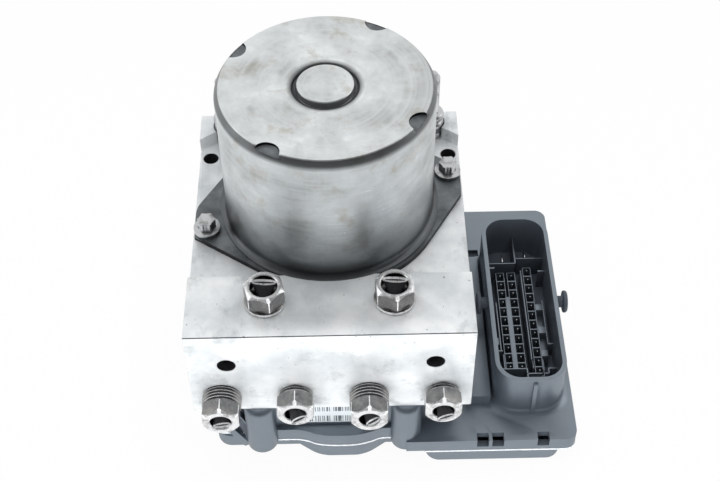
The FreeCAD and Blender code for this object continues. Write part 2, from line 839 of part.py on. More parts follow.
def make_shaft():
    host = new_body("shaft_core")
    top = REAR_BEARING_TOP
    rear = "(%s - rear_bearing_width - rear_shoulder_gap)" % top
    turned(host, "shaft_profile", [
        ("0", JOURNAL_TOP), ("shaft_radius", JOURNAL_TOP), ("shaft_radius", rear),
        ("rear_journal_radius", rear), ("rear_journal_radius", top), ("0", top)])
    tail_low = "(%s - tail_length)" % JOURNAL_BOTTOM
    tail = cylinder("shaft_tail", "tail_radius", "tail_length", z=tail_low)
    journal = cylinder("shaft_journal", "journal_radius", "journal_length", y="eccentric_offset",
                       z=JOURNAL_BOTTOM)
    node(fuse("motor_shaft", [host, tail, journal]))


def make_eccentric_ring():
    node(tube("eccentric_ring", "ring_radius", "journal_radius + running_clearance", "ring_width",
              y="eccentric_offset", z=PUMP_Z + " - ring_width / 2"))


def make_bearings():
    node(tube("front_bearing", "front_bearing_radius", "shaft_radius + running_clearance", "bearing_width",
              z=BEARING_BOTTOM))
    node(tube("rear_bearing", "rear_bearing_radius", "rear_journal_radius + running_clearance",
              "rear_bearing_width", z=REAR_BEARING_TOP + " - rear_bearing_width"))


def slot_boxes(name, width, low, height):
    boxes = []
    for index in range(int(SIZES["armature_slots"])):
        angle = 360.0 * index / SIZES["armature_slots"]
        slot = doc.addObject("Part::Box", "%s_%d" % (name, index))
        bind(slot, Length="slot_depth", Width=width, Height=height)
        turn = FreeCAD.Rotation(FreeCAD.Vector(0, 0, 1), angle)
        slot.Placement = FreeCAD.Placement(FreeCAD.Vector(), turn)
        inner = "(%s - slot_depth - tooth_tip)" % ARMATURE_RADIUS
        half = "(%s) / 2" % width
        along = "%s * cos(%s) + %s * sin(%s)" % (inner, angle, half, angle)
        across = "%s * sin(%s) - %s * cos(%s)" % (inner, angle, half, angle)
        slot.setExpression("Placement.Base.x", expr(along))
        slot.setExpression("Placement.Base.y", expr(across))
        slot.setExpression("Placement.Base.z", expr(low))
        boxes.append(slot)
    return boxes


def make_armature():
    shaft_fit = "shaft_radius + snug_clearance"
    core = tube("core_stack", ARMATURE_RADIUS, shaft_fit, "armature_height", z=ARMATURE_BOTTOM)
    slots = slot_boxes("core_slot", "slot_width", ARMATURE_BOTTOM + " - past", "armature_height + 2 * past")
    node(cut("armature_core", core, slots))
    outer = "(%s - winding_inset)" % ARMATURE_RADIUS
    inner = "shaft_radius + winding_distance"
    low = "(%s - winding_height)" % ARMATURE_BOTTOM
    whole = "armature_height + 2 * winding_height"
    rings = [tube("winding_" + name, outer, inner, "winding_height", z=z)
             for name, z in (("low", low), ("high", ARMATURE_BOTTOM + " + armature_height"))]
    bars = slot_boxes("winding_bar", "slot_width - free_clearance", low + " + 2 * bite",
                      whole + " - 4 * bite")
    trim = tube("winding_trim", outer, inner, whole, z=low)
    node(fuse("armature_windings", rings + [common("winding_bars", fuse("winding_bar_set", bars), trim)]))
    node(tube("commutator", "commutator_radius", shaft_fit, "commutator_height",
              z=SHIELD_TOP + " + commutator_rise"))


def make_magnets():
    for side, start in (("right", "-magnet_angle / 2"), ("left", "180 - magnet_angle / 2")):
        outer = doc.addObject("Part::Cylinder", "magnet_outer_" + side)
        bind(outer, Radius=MAGNET_OUTSIDE, Height="magnet_height", Angle="magnet_angle")
        outer.setExpression("Placement.Base.z", expr(MAGNET_BOTTOM))
        outer.setExpression("Placement.Rotation.Angle", expr(start))
        inner = cylinder("magnet_inner_" + side, MAGNET_OUTSIDE + " - magnet_thickness", "magnet_height",
                         z=MAGNET_BOTTOM)
        node(cut("magnet_" + side, outer, [inner]))


def make_brushes():
    low = SHIELD_TOP + " + magnet_clearance"
    node(tube("brush_plate", CAN_INSIDE + " - brush_plate_gap", "commutator_radius + 2 * free_clearance",
              "brush_plate_thickness", z=low))
    start = "(commutator_radius + 2 * running_clearance)"
    blocks = []
    for side, sign in SIDES.items():
        near = start if side == "right" else "-%s - brush_length" % start
        far = start + " + brush_length" if side == "right" else "-" + start
        z = low + " + brush_plate_thickness"
        blocks.append(box("brush_" + side, "-brush_width / 2", "brush_width / 2", near, far, z,
                          z + " + brush_height"))
    node(group("brushes", blocks))


# Pump pistons, plugs and springs
def coil_spring(name, radius, turns, length, start, direction):
    wire = number("spring_wire")
    pitch = (number(length) - 2 * wire) / number(turns)
    path = Part.makeHelix(pitch, pitch * number(turns), number(radius))
    section = Part.Wire(Part.makeCircle(wire, FreeCAD.Vector(number(radius), 0, 0), FreeCAD.Vector(0, 1, 0)))
    spring = doc.addObject("Part::Feature", name)
    spring.Shape = Part.Wire(path).makePipeShell([section], True, True)
    base = FreeCAD.Vector(*[number(text) for text in start])
    spring.Placement = FreeCAD.Placement(base, TURNS[direction])
    return node(spring)


PISTON_FACE = "(ring_radius + eccentric_offset + piston_gap)"


def make_pump():
    plugs = []
    for side, sign in SIDES.items():
        axis = "X" if side == "right" else "-X"
        piston = new_body("pump_piston_" + side, "%s * %s" % (sign, PISTON_FACE), "0", PUMP_Z, axis)
        turned(piston, piston.Name + "_profile", [
            ("0", "0"), ("piston_radius - piston_chamfer", "0"), ("piston_radius", "piston_chamfer"),
            ("piston_radius", "piston_length"), ("0", "piston_length")])
        node(piston)
        gap = "(block_width / 2 - plug_length - %s - piston_length)" % PISTON_FACE
        coil_spring("pump_spring_" + side, "pump_spring_radius", "pump_spring_turns", gap,
                    ("%s * (%s + piston_length + spring_wire)" % (sign, PISTON_FACE), "0", PUMP_Z), axis)
        plugs.append(make_plug(side, sign, axis))
    node(group("pump_plugs", plugs))


def make_plug(side, sign, axis):
    host = new_body("pump_plug_" + side, "%s * (block_width / 2 - plug_length)" % sign, "0", PUMP_Z, axis)
    rim = "(pump_cavity_radius - snug_clearance)"
    turned(host, host.Name + "_profile", [
        ("0", "0"), (rim, "0"), (rim, "plug_length"), (rim + " - plug_rim", "plug_length"),
        (rim + " - plug_rim", "plug_length - plug_dish"), ("0", "plug_length - plug_dish")])
    return host


# Low pressure chambers at the back
def make_chambers():
    caps = []
    z = "block_bottom + chamber_rise"
    floor = "(block_back - chamber_depth + chamber_gap)"
    for side, sign in SIDES.items():
        x = sign + " * chamber_spacing / 2"
        piston = new_body("chamber_piston_" + side, x, floor, z, "Y")
        rim = "(chamber_radius - running_clearance)"
        turned(piston, piston.Name + "_profile", [
            ("0", "0"), (rim, "0"), (rim, "chamber_piston_length"),
            (rim + " - piston_rim", "chamber_piston_length"),
            (rim + " - piston_rim", "chamber_piston_length - piston_dish"),
            ("0", "chamber_piston_length - piston_dish")])
        node(piston)
        seat = "(chamber_piston_length - piston_dish)"
        gap = "(chamber_depth - chamber_gap - %s - chamber_cap_length)" % seat
        coil_spring("chamber_spring_" + side, "chamber_spring_radius", "chamber_spring_turns", gap,
                    (x, "%s + %s + spring_wire" % (floor, seat), z), "Y")
        cap = cylinder("chamber_cap_" + side, "chamber_radius - snug_clearance", "chamber_cap_length",
                       x, "block_back - chamber_cap_length", z, "Y")
        dimple = cylinder("chamber_dimple_" + side, "chamber_radius - cap_rim", "cap_dish", x,
                          "block_back - cap_dish", z, "Y")
        caps.append(cut("chamber_cap_cut_" + side, cap, [dimple]))
    node(group("chamber_caps", caps))


def make_gallery_balls():
    balls = []
    for row, y in gallery_rows().items():
        for side, sign in SIDES.items():
            ball = doc.addObject("Part::Sphere", "ball_%s_%s" % (row, side))
            bind(ball, Radius="ball_radius - snug_clearance")
            balls.append(place(ball, "%s * (block_width / 2 - ball_radius)" % sign, y,
                               "block_bottom + gallery_rise"))
    node(group("gallery_balls", balls))


# Solenoid valves and their coils
def make_valves():
    bodies = []
    for index, (x, y) in enumerate(valve_places(), start=1):
        host = new_body("valve_body_%d" % index, x, y, "block_bottom")
        bore = "(valve_stem_radius - valve_wall)"
        neck = "(needle_radius + free_clearance)"
        top = "(valve_seat_depth - valve_top_gap)"
        rim = "(valve_radius - snug_clearance)"
        tip = rim + " - valve_shoulder"
        turned(host, host.Name + "_profile", [
            ("0", "-valve_stem_length"), ("valve_stem_radius - valve_chamfer", "-valve_stem_length"),
            ("valve_stem_radius", "valve_chamfer - valve_stem_length"), ("valve_stem_radius", "0"),
            (rim, "0"), (rim, "valve_seat_depth / 2"), (tip, "valve_seat_depth / 2 + valve_shoulder"),
            (tip, top), (neck, top), (neck, "0"), (bore, "0"), (bore, "valve_wall - valve_stem_length"),
            ("0", "valve_wall - valve_stem_length")])
        bodies.append(host)
        make_plunger(index, x, y)
    node(group("valve_bodies", bodies))


def make_plunger(index, x, y):
    host = new_body("valve_plunger_%d" % index, x, y,
                    "block_bottom + valve_wall + plunger_gap - valve_stem_length")
    body_radius = "(valve_stem_radius - valve_wall - running_clearance)"
    turned(host, host.Name + "_profile", [
        ("0", "0"), (body_radius, "0"), (body_radius, "plunger_length"), ("needle_radius", "plunger_length"),
        ("needle_radius", "plunger_length + needle_length"),
        ("0", "plunger_length + needle_length + needle_tip")])
    node(host)


def make_coils():
    coils = []
    for index, (x, y) in enumerate(valve_places(), start=1):
        host = new_body("coil_%d" % index, x, y, "block_bottom - coil_gap - coil_height")
        inner = "(valve_stem_radius + coil_clearance)"
        wound = "(coil_radius - coil_recess)"
        turned(host, host.Name + "_profile", [
            (inner, "0"), ("coil_radius", "0"), ("coil_radius", "coil_plate"), (wound, "coil_plate"),
            (wound, "coil_height - coil_plate"), ("coil_radius", "coil_height - coil_plate"),
            ("coil_radius", "coil_height"), (inner, "coil_height")])
        coils.append(host)
    node(group("valve_coils", coils))


# Control unit housing
def unit_outline(inset="0"):
    left = "-(unit_left - %s)" % inset
    right = "(unit_right - %s)" % inset
    front = {key: "-(%s - %s)" % (key, inset)
             for key in ("left_front", "mid_front", "bulge_front", "right_front")}
    step = "(right_start + %s)" % inset
    return [
        (left, "unit_back - " + inset), (left, front["left_front"]), ("-column_x", front["left_front"]),
        ("-column_x", front["mid_front"]), ("-bulge_start - bulge_slope", front["mid_front"]),
        ("-bulge_start", front["bulge_front"]), ("bulge_end", front["bulge_front"]),
        ("bulge_end + bulge_slope", front["mid_front"]), (step, front["mid_front"]),
        (step, front["right_front"]), (right, front["right_front"]), (right, "unit_back - " + inset),
    ]


def riser_outline(inset="0"):
    side = "(riser_half_width - %s)" % inset
    middle = "(column_x + %s)" % inset if inset == "0" else "(column_x - %s)" % inset
    front = "-(riser_front - %s)" % inset
    shoulder = "-(riser_side_front - %s)" % inset
    back = "riser_back - %s" % inset
    return [("-" + side, back), ("-" + side, shoulder), ("-" + middle, shoulder), ("-" + middle, front),
            (middle, front), (middle, shoulder), (side, shoulder), (side, back)]


def deck_parts():
    rim = plate("unit_rim", unit_outline(), HOUSING_BOTTOM, "deck_height - " + HOUSING_BOTTOM, (0, 1, 10, 11))
    hollow = plate("unit_hollow", unit_outline("rim_wall"), HOUSING_BOTTOM + " - past",
                   "deck_height - deck_thickness + past - " + HOUSING_BOTTOM, (0, 1, 10, 11),
                   "corner_radius - rim_wall")
    riser = plate("unit_riser", riser_outline(), "deck_height", "block_bottom - gasket_height - deck_height")
    well = plate("unit_well", riser_outline("riser_wall"), HOUSING_BOTTOM, "block_bottom - " + HOUSING_BOTTOM)
    return [rim, riser], [hollow, well]


def gasket_shoulder(index, x, y):
    height = "block_bottom - gasket_height - deck_height"
    disc = cylinder("shoulder_disc_%d" % index, "column_radius + free_clearance + gasket_width", height,
                    x, y, "deck_height")
    within = plate("shoulder_limit_%d" % index, riser_outline(), "deck_height", height)
    return common("shoulder_%d" % index, disc, within)


def boss_parts():
    solids = []
    tools = []
    for index, (x, y) in enumerate(unit_screw_places()):
        front = index < 2
        top = "block_bottom" if front else "block_bottom - gasket_height"
        solids.append(cylinder("boss_%d" % index, "column_radius", "%s - %s" % (top, HOUSING_BOTTOM), x, y,
                               HOUSING_BOTTOM))
        if front:
            solids.append(gasket_shoulder(index, x, y))
        tools.append(cylinder("boss_hole_%d" % index, "unit_screw_radius + free_clearance",
                              "block_bottom - %s + past" % HOUSING_BOTTOM, x, y, HOUSING_BOTTOM))
        tools.append(cylinder("boss_counterbore_%d" % index, "unit_screw_head_radius + free_clearance",
                              "counterbore_depth", x, y, HOUSING_BOTTOM))
    return solids, tools


def shroud_parts():
    base = rectangle("shroud_left", "shroud_right", "-shroud_front", "shroud_back")
    shell = plate("shroud_shell", base, "deck_height - 2 * bite", "shroud_height + 2 * bite", (0, 1, 2, 3),
                  "shroud_round")
    inner = rectangle("shroud_left + shroud_wall", "shroud_right - shroud_wall", "shroud_wall - shroud_front",
                      "shroud_back - shroud_wall")
    cavity = plate("shroud_cavity", inner, "deck_height", "shroud_height + past", (0, 1, 2, 3),
                   "shroud_round - shroud_wall")
    return shell, cavity


def partition_boxes():
    low = "deck_height - bite"
    high = "deck_height + partition_height"
    wall = " + partition_wall"
    left = "shroud_left + shroud_wall - bite / 2"
    right = "shroud_right - shroud_wall + bite / 2"
    front = "shroud_wall - shroud_front - bite / 2"
    back = "shroud_back - shroud_wall + bite / 2"
    mid_x = "(pin_column_b + partition_offset)"
    mid_start = mid_x + " - partition_wall"
    long_x = "(pin_column_c - partition_gap)"
    cross_y = "(pin_first_y + pin_pitch)"
    cross_high = cross_y + " + partition_step"
    end_y = "(pin_first_y - (pin_count - 0.4) * pin_pitch)"
    end_low = end_y + " - 2 * partition_wall"
    between = "(pin_column_a + pin_column_b) / 2"
    guide_end = "pin_first_y - 2.6 * pin_pitch"
    walls = {
        "cross_left": (left, mid_x, cross_y, cross_y + wall),
        "cross_right": (mid_start, right, cross_high, cross_high + wall),
        "cross_up": (mid_start, mid_x, cross_y, back),
        "long": (long_x, long_x + wall, end_y + " + 0.6 * pin_pitch", cross_y + " - guide_offset"),
        "end_left": (left, mid_x, end_y, end_y + wall),
        "end_up": (mid_start, mid_x, front, end_y + " + bite / 2"),
        "end_right": (mid_start, mid_x + " + 1.8 * pin_pitch", end_low, end_low + wall),
        "between": (between + " - guide_wall / 2", between + " + guide_wall / 2", end_y,
                    "pin_first_y - 1.5 * pin_pitch"),
        "inner_left": ("pin_column_a - guide_offset - guide_wall", "pin_column_a - guide_offset",
                       end_y + " + 2 * pin_pitch", guide_end),
        "inner_right": ("pin_column_c + partition_offset", "pin_column_c + partition_offset + guide_wall",
                        end_y + " + pin_pitch", guide_end),
    }
    return [box("partition_" + name, *span, low, high) for name, span in walls.items()]


def peg_parts():
    pegs = []
    y = "(shroud_back - shroud_front) / 2"
    z = "deck_height + peg_rise"
    for side, edge in (("left", "shroud_left"), ("right", "shroud_right")):
        axis = "X" if side == "right" else "-X"
        sign = "1" if side == "right" else "-1"
        start = "%s - %s * bite" % (edge, sign)
        pegs.append(cylinder("peg_neck_" + side, "peg_neck_radius", "peg_neck_length + 2 * bite", start, y, z,
                             axis))
        pegs.append(cylinder("peg_head_" + side, "peg_head_radius", "peg_head_thickness",
                             "%s + %s * peg_neck_length" % (edge, sign), y, z, axis))
    return pegs


def deck_details():
    rib_start = "(shroud_left + shroud_right) / 2 + rib_shift"
    groove_start = "ridge_back + groove_distance"
    solids = [
        box("deck_ridge", "ridge_left", "ridge_right", "-ridge_front", "ridge_back", "deck_height - bite",
            "deck_height + ridge_height"),
        box("shroud_rib", rib_start, rib_start + " + rib_thickness", "-shroud_front - rib_reach",
            "bite - shroud_front", "deck_height", "deck_height + shroud_height - rib_drop"),
    ]
    tools = [box("deck_groove", "ridge_left", "shroud_left", groove_start, groove_start + " + groove_width",
                 "deck_height - groove_depth", "deck_height + past")]
    for index, x in enumerate(("notch_one_x", "notch_two_x", "notch_three_x")):
        tools.append(box("front_notch_%d" % index, x, x + " + notch_width", "-right_front - past",
                         "notch_length - right_front", "deck_height - notch_height", "deck_height + past"))
    return solids, tools


def gusset_bars():
    bars = []
    for index, rise in enumerate(("gusset_upper_rise", "gusset_lower_rise")):
        bar = doc.addObject("Part::Box", "gusset_%d" % index)
        bind(bar, Length="gusset_length", Width="gusset_depth", Height="gusset_thickness")
        turn = FreeCAD.Rotation(FreeCAD.Vector(0, 1, 0), SIZES["gusset_slope"])
        bar.Placement = FreeCAD.Placement(FreeCAD.Vector(), turn)
        bar.setExpression("Placement.Base.x", expr("-column_x - column_radius - gusset_distance"))
        bar.setExpression("Placement.Base.y", expr("-riser_side_front + riser_wall / 2 - gusset_depth"))
        bar.setExpression("Placement.Base.z", expr("deck_height + " + rise))
        bars.append(bar)
    return bars


def make_housing():
    solids, tools = deck_parts()
    more_solids, more_tools = boss_parts()
    shell, cavity = shroud_parts()
    detail_solids, detail_tools = deck_details()
    outside = fuse("unit_solid", solids + [shell] + detail_solids + peg_parts())
    hollowed = cut("unit_hollowed", outside, tools + [cavity] + detail_tools)
    finished = fuse("unit_with_walls", [hollowed] + more_solids + partition_boxes() + gusset_bars())
    node(cut("ecu_housing", finished, more_tools))


def cover_outline(inset="0"):
    left = "-(unit_left - cover_margin - %s)" % inset
    right = "(unit_right - cover_side_margin - %s)" % inset
    front = "-(left_front + cover_margin - %s)" % inset
    bulge = "-(bulge_front - %s)" % inset
    far = "-(right_front - cover_margin / 2 - %s)" % inset
    step = "(right_start + cover_step_shift + %s)" % inset
    back = "unit_back - 1.5 * cover_margin - " + inset
    return [(left, back), (left, front), ("-bulge_start - bulge_slope - cover_bulge_run", front),
            ("-bulge_start", bulge), ("bulge_end", bulge),
            ("bulge_end + bulge_slope + cover_bulge_run", front), (step, front), (step, far),
            (right, far), (right, back)]


def make_cover():
    rounded = (0, 1, 7, 8, 9)
    tray = plate("cover_tray", cover_outline(), "0", "cover_height", rounded, "corner_radius + cover_margin")
    hollow = plate("cover_hollow", cover_outline("rim_wall"), "cover_floor", "cover_height", rounded,
                   "corner_radius - cover_margin")
    node(cut("ecu_cover", tray, [hollow]))
    outer = plate("seal_outer", cover_outline("seal_inset"), "cover_height", "seal_height", rounded,
                  "corner_radius + cover_margin - seal_inset")
    inner = plate("seal_inner", cover_outline("rim_wall - seal_inset"), "cover_height - bite",
                  "seal_height + 2 * bite", rounded, "corner_radius - seal_inset")
    node(cut("cover_seal", outer, [inner]))


def make_gasket():
    low = "block_bottom - gasket_height"
    outer = plate("gasket_outer", riser_outline(), low, "gasket_height")
    inner = plate("gasket_inner", riser_outline("gasket_width"), low + " - past", "gasket_height + 2 * past")
    clear = []
    bridges = []
    for index, (x, y) in enumerate(unit_screw_places()[:2]):
        clear.append(cylinder("gasket_clear_%d" % index, "column_radius + free_clearance",
                              "gasket_height + 2 * past", x, y, low + " - past"))
        bridges.append(cylinder("gasket_bridge_%d" % index, "column_radius + free_clearance + gasket_width",
                                "gasket_height", x, y, low))
    within = plate("gasket_limit", riser_outline(), low, "gasket_height")
    bridge = common("gasket_bridge", fuse("gasket_bridges", bridges), within)
    ring = cut("gasket_ring", outer, [inner])
    node(cut("block_gasket", fuse("gasket_whole", [ring, bridge]), clear))


def make_board():
    low = "board_clearance + cover_floor"
    board = box("board_blank", "-unit_left + rim_wall + board_margin",
                "unit_right - cover_side_margin - rim_wall - board_margin",
                "-left_front + rim_wall + board_margin", "unit_back - rim_wall - board_margin", low,
                low + " + board_thickness")
    notches = [cylinder("board_notch_%d" % index, "column_radius + past", "board_thickness + 2 * past", x, y,
                        low + " - past") for index, (x, y) in enumerate(unit_screw_places())]
    node(cut("circuit_board", board, notches))


def make_unit_screws():
    screws = []
    for index, (x, y) in enumerate(unit_screw_places()):
        seat = HOUSING_BOTTOM + " + counterbore_depth"
        head = cylinder("unit_head_%d" % index, "unit_screw_head_radius", "unit_screw_head_height", x, y,
                        seat, "-Z")
        socket = cylinder("unit_socket_%d" % index, "unit_screw_head_radius / 2", "unit_socket_depth", x, y,
                          seat + " - unit_screw_head_height")
        length = "block_bottom - (%s) + unit_screw_depth - past" % seat
        shank = cylinder("unit_shank_%d" % index, "unit_screw_radius", length, x, y, seat)
        solid = fuse("unit_screw_solid_%d" % index, [head, shank])
        screws.append(cut("unit_screw_%d" % index, solid, [socket]))
    node(group("ecu_screws", screws))


# Connector contacts and label
def upright_contact(name, x, y, wide, long):
    low = "board_clearance + cover_floor + board_thickness"
    return box(name, "%s - %s / 2" % (x, wide), "%s + %s / 2" % (x, wide), "%s - %s / 2" % (y, long),
               "%s + %s / 2" % (y, long), low, "deck_height + pin_rise")


def make_contacts():
    pins = []
    for column, extra, shift in (("a", 0, "0"), ("b", 0, "0"), ("c", 1, "third_column_shift")):
        for index in range(int(SIZES["pin_count"]) + extra):
            y = "pin_first_y + %s - %d * pin_pitch" % (shift, index)
            pins.append(upright_contact("pin_%s_%d" % (column, index), "pin_column_" + column, y,
                                        "pin_width", "pin_width"))
    node(group("signal_pins", pins))
    places = (("a", "pin_column_a + blade_shift", "pin_first_y + 2 * pin_pitch"),
              ("b", "pin_column_c", "pin_first_y + 2.5 * pin_pitch"))
    node(group("power_blades", [upright_contact("blade_" + name, x, y, "blade_thickness", "blade_width")
                                for name, x, y in places]))


def make_label():
    centre = "(bulge_end - bulge_start) / 2 - label_shift"
    low = "deck_height + label_rise"
    node(box("bar_label", centre + " - label_width / 2", centre + " + label_width / 2",
             "-riser_front - label_thickness", "-riser_front", low, low + " + label_height"))


def check_and_write():
    doc.recompute()
    for thing in doc.Objects:
        if "Invalid" in thing.State or "Error" in thing.State:
            raise RuntimeError("failed object: %s %s" % (thing.Name, thing.State))
    for thing in nodes:
        shape = thing.Shape
        if shape.isNull() or not shape.isValid() or not shape.Solids:
            raise RuntimeError("bad shape: " + thing.Label)
        shape.exportStep(os.path.join("parts", thing.Label + ".step"))
    print("%d sub-parts written" % len(nodes))


fill_sheet()
make_block()
make_line_fittings()
make_studs()
make_can()
make_end_shield()
make_motor_screws()
make_shaft()
make_eccentric_ring()
make_bearings()
make_armature()
make_magnets()
make_brushes()
make_pump()
make_chambers()
make_gallery_balls()
make_valves()
make_coils()
make_housing()
make_cover()
make_gasket()
make_board()
make_unit_screws()
make_contacts()
make_label()
check_and_write()
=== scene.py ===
import math
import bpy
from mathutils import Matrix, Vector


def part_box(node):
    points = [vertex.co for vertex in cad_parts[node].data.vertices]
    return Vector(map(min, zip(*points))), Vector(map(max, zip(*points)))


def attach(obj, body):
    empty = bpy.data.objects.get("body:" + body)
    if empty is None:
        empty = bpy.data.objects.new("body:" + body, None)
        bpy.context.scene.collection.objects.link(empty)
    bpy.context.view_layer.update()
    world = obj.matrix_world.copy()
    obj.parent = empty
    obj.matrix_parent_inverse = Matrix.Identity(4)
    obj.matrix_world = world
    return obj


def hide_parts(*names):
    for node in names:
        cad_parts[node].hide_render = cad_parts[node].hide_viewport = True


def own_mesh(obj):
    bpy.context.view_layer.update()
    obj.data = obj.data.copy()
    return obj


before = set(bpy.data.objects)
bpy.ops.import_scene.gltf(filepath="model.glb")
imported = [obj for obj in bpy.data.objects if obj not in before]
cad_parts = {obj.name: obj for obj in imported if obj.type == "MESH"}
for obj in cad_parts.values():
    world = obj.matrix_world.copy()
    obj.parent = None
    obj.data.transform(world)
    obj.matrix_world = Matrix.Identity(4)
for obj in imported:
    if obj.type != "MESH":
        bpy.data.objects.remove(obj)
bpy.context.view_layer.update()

from types import SimpleNamespace

import bmesh
import bpy
from mathutils import Vector

bl_info = {
    "name": "Brake pressure module",
    "version": (1, 0, 0),
    "blender": (4, 5, 0),
    "location": "3D View > Sidebar > Brake unit",
    "description": "Dresses the brake pressure module: metal block, motor, nuts and plastic control unit",
    "category": "Add Mesh",
}

MM = 0.001
UNIT = "unit"


# Places taken from the frame, in millimetres
def node_box(name):
    low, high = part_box(name)
    return [value / MM for value in low], [value / MM for value in high]


BLOCK_LOW, BLOCK_HIGH = node_box("hydraulic_block")
CAN_LOW, CAN_HIGH = node_box("motor_can")
HOUSING_LOW, HOUSING_HIGH = node_box("ecu_housing")
COVER_LOW, COVER_HIGH = node_box("ecu_cover")
LABEL_LOW, LABEL_HIGH = node_box("bar_label")


def linear(hex_value):
    """An sRGB hex value as linear red, green, blue and alpha."""
    parts = [int(hex_value[i:i + 2], 16) / 255 for i in (1, 3, 5)]
    return [part / 12.92 if part <= 0.04045 else ((part + 0.055) / 1.055) ** 2.4 for part in parts] + [1.0]


def length(name, description, millimetres):
    """One length that a user may change."""
    return bpy.props.FloatProperty(name=name, description=description, default=millimetres * MM, min=0.0,
                                   precision=5, unit="LENGTH")


def colour(name, description, hex_value):
    """One colour that a user may change, given here as sRGB hex."""
    return bpy.props.FloatVectorProperty(name=name, description=description, default=linear(hex_value), size=4,
                                         subtype="COLOR", min=0.0, max=1.0)


class BrakeUnitSizes(bpy.types.PropertyGroup):
    edge: length("Edge softening", "Width of the bevel on machined edges", 0.25)
    moulded_edge: length("Moulded edge", "Width of the bevel on plastic edges", 0.45)
    can_radius: length("Can radius", "Outer radius of the motor can", 35.2)
    can_flat_radius: length("Can flat radius", "Radius where the can's top starts to round over", 33.6)
    can_round_drop: length("Can rounding", "Height of the rounding at the can's top rim", 2.6)
    dish_radius: length("Dish radius", "Outer radius of the shallow dish in the can's top", 31.2)
    dish_depth: length("Dish depth", "Depth of that dish", 0.35)
    ring_radius: length("Pressed ring", "Radius of the faint pressed ring in the dish", 17.1)
    flange_radius: length("Flange radius", "Radius of the flange under the can", 38.2)
    ear_high: length("Ear's back corner", "How far behind the axis the right ear's back corner is", 15.1)
    ear_low: length("Ear's front corner", "How far behind the axis the right ear's front corner is", 2.4)
    can_screw_x: length("Motor screw across", "How far the motor's screws are to the side of the axis", 41.2)
    can_screw_y: length("Motor screw back", "How far the right motor screw is behind the axis", 12.4)
    hub_radius: length("Hub radius", "Radius of the hub in the can's top", 9.1)
    hub_rise: length("Hub rise", "How far the hub stands above the can's top", 0.5)
    hub_groove_radius: length("Hub groove", "Outer radius of the groove round the hub", 10.8)
    notch_radius: length("Notch radius", "Radius of the four half-moon notches", 4.2)
    notch_depth: length("Notch depth", "Depth of the notches", 1.3)
    nut_flats: length("Nut flats", "Width across the flats of the tube nuts", 11.9)
    nut_chamfer: length("Nut chamfer", "Height of the nuts' end chamfer", 1.3)
    nut_hex_length: length("Nut length", "Length of the outlet nuts' hexagon", 5.6)
    inlet_hex_length: length("Inlet nut length", "Length of the inlet nuts' hexagon", 6.4)
    pipe_radius: length("Pipe radius", "Radius of the cut-off pipes", 2.3)
    thread_pitch: length("Thread pitch", "Pitch of the studs' threads", 1.0)
    line_thread_pitch: length("Line thread pitch", "Pitch of the nuts' threads that show", 1.25)
    thread_depth: length("Thread depth", "Depth of the threads that show", 0.55)
    shroud_wall: length("Shroud wall", "Wall of the connector shroud", 1.5)
    shroud_round: length("Shroud corner", "Outer corner radius of the connector shroud", 8.5)
    shroud_height: length("Shroud height", "Height of the shroud above the deck", 18.6)
    partition_height: length("Partition height", "Height of the walls between the contacts", 9.0)
    cell_height: length("Cell height", "Height of the cells round the contacts", 6.2)
    pin_width: length("Pin width", "Width of a small contact", 0.7)
    deck_height: length("Deck height", "Height of the control unit's deck above the cover's underside", 13.0)
    rim_bottom: length("Rim bottom", "Height of the housing's lower edge", 7.5)


class BrakeUnitColours(bpy.types.PropertyGroup):
    aluminium: colour("Aluminium", "Milled block", "#F2F4F5")
    aluminium_stain: colour("Aluminium stain", "Handling stains on the block", "#A3A8AB")
    can_steel: colour("Can steel", "Deep drawn motor can", "#EEF2F3")
    can_stain: colour("Can stain", "Brownish heat and oil traces on the can", "#9C907C")
    flange_steel: colour("Flange steel", "Flange of the can, with a grey film", "#7D8285")
    zinc_steel: colour("Zinc plated steel", "Studs and screws", "#C2C4C6")
    # Bright end faces of the nuts; on their thread crests this colour is a painted highlight.
    nut_end_tone: colour("Nut ends", "Bright end faces of the nuts, and a painted highlight on their thread crests", "#E4E5E6")
    # Painted highlight: glints on the nuts' corners and ridges.
    ridge_glint: colour("Ridge glints", "Corners and ridges of the nuts, painted bright as glints", "#F4F5F6")
    zinc_grime: colour("Grime", "Dark grime in the plating", "#8C8A88")
    nut_flank: colour("Nut flanks", "Passivated flanks and threads of the nuts", "#7B7A7B")
    plastic: colour("Housing plastic", "Glass filled polyester of the control unit", "#40464D")
    # Shaded copy of the housing plastic: painted shade in the socket, groove, notches, pegs and gusset sheet.
    plastic_shaded_copy: colour("Shaded plastic", "The same plastic, as a shaded copy for the socket, recesses and pegs", "#4A5058")
    seam: colour("Seam", "Light sealing bead between cover and housing", "#F4F6F8")
    contact: colour("Contact", "Tin plated contacts", "#E4E6E6")
    label: colour("Label", "Label film", "#D3D9DD")
    label_bar: colour("Label bars", "Bars of the label", "#565F63")
    copper: colour("Copper", "Windings and commutator", "#B5713F")
    rubber: colour("Rubber", "Gasket", "#1E1F21")
    floor: colour("Floor", "Studio floor and backdrop", "#F4F6F8")


def sizes():
    """The lengths in millimetres, as the modelling code takes them."""
    group = bpy.context.scene.brake_unit_sizes
    return SimpleNamespace(**{name: getattr(group, name) / MM for name in BrakeUnitSizes.__annotations__})


def colours():
    return bpy.context.scene.brake_unit_colours


# Helpers for modelling
def leave_edit_mode():
    if bpy.context.object and bpy.context.object.mode != "OBJECT":
        bpy.ops.object.mode_set(mode="OBJECT")
    bpy.ops.object.select_all(action="DESELECT")


def only(piece):
    leave_edit_mode()
    piece.select_set(True)
    bpy.context.view_layer.objects.active = piece


def named(name):
    piece = bpy.context.object
    piece.name = name
    piece.data.name = name
    return piece


def edit(piece):
    only(piece)
    bpy.ops.object.mode_set(mode="EDIT")
    return bmesh.from_edit_mesh(piece.data)


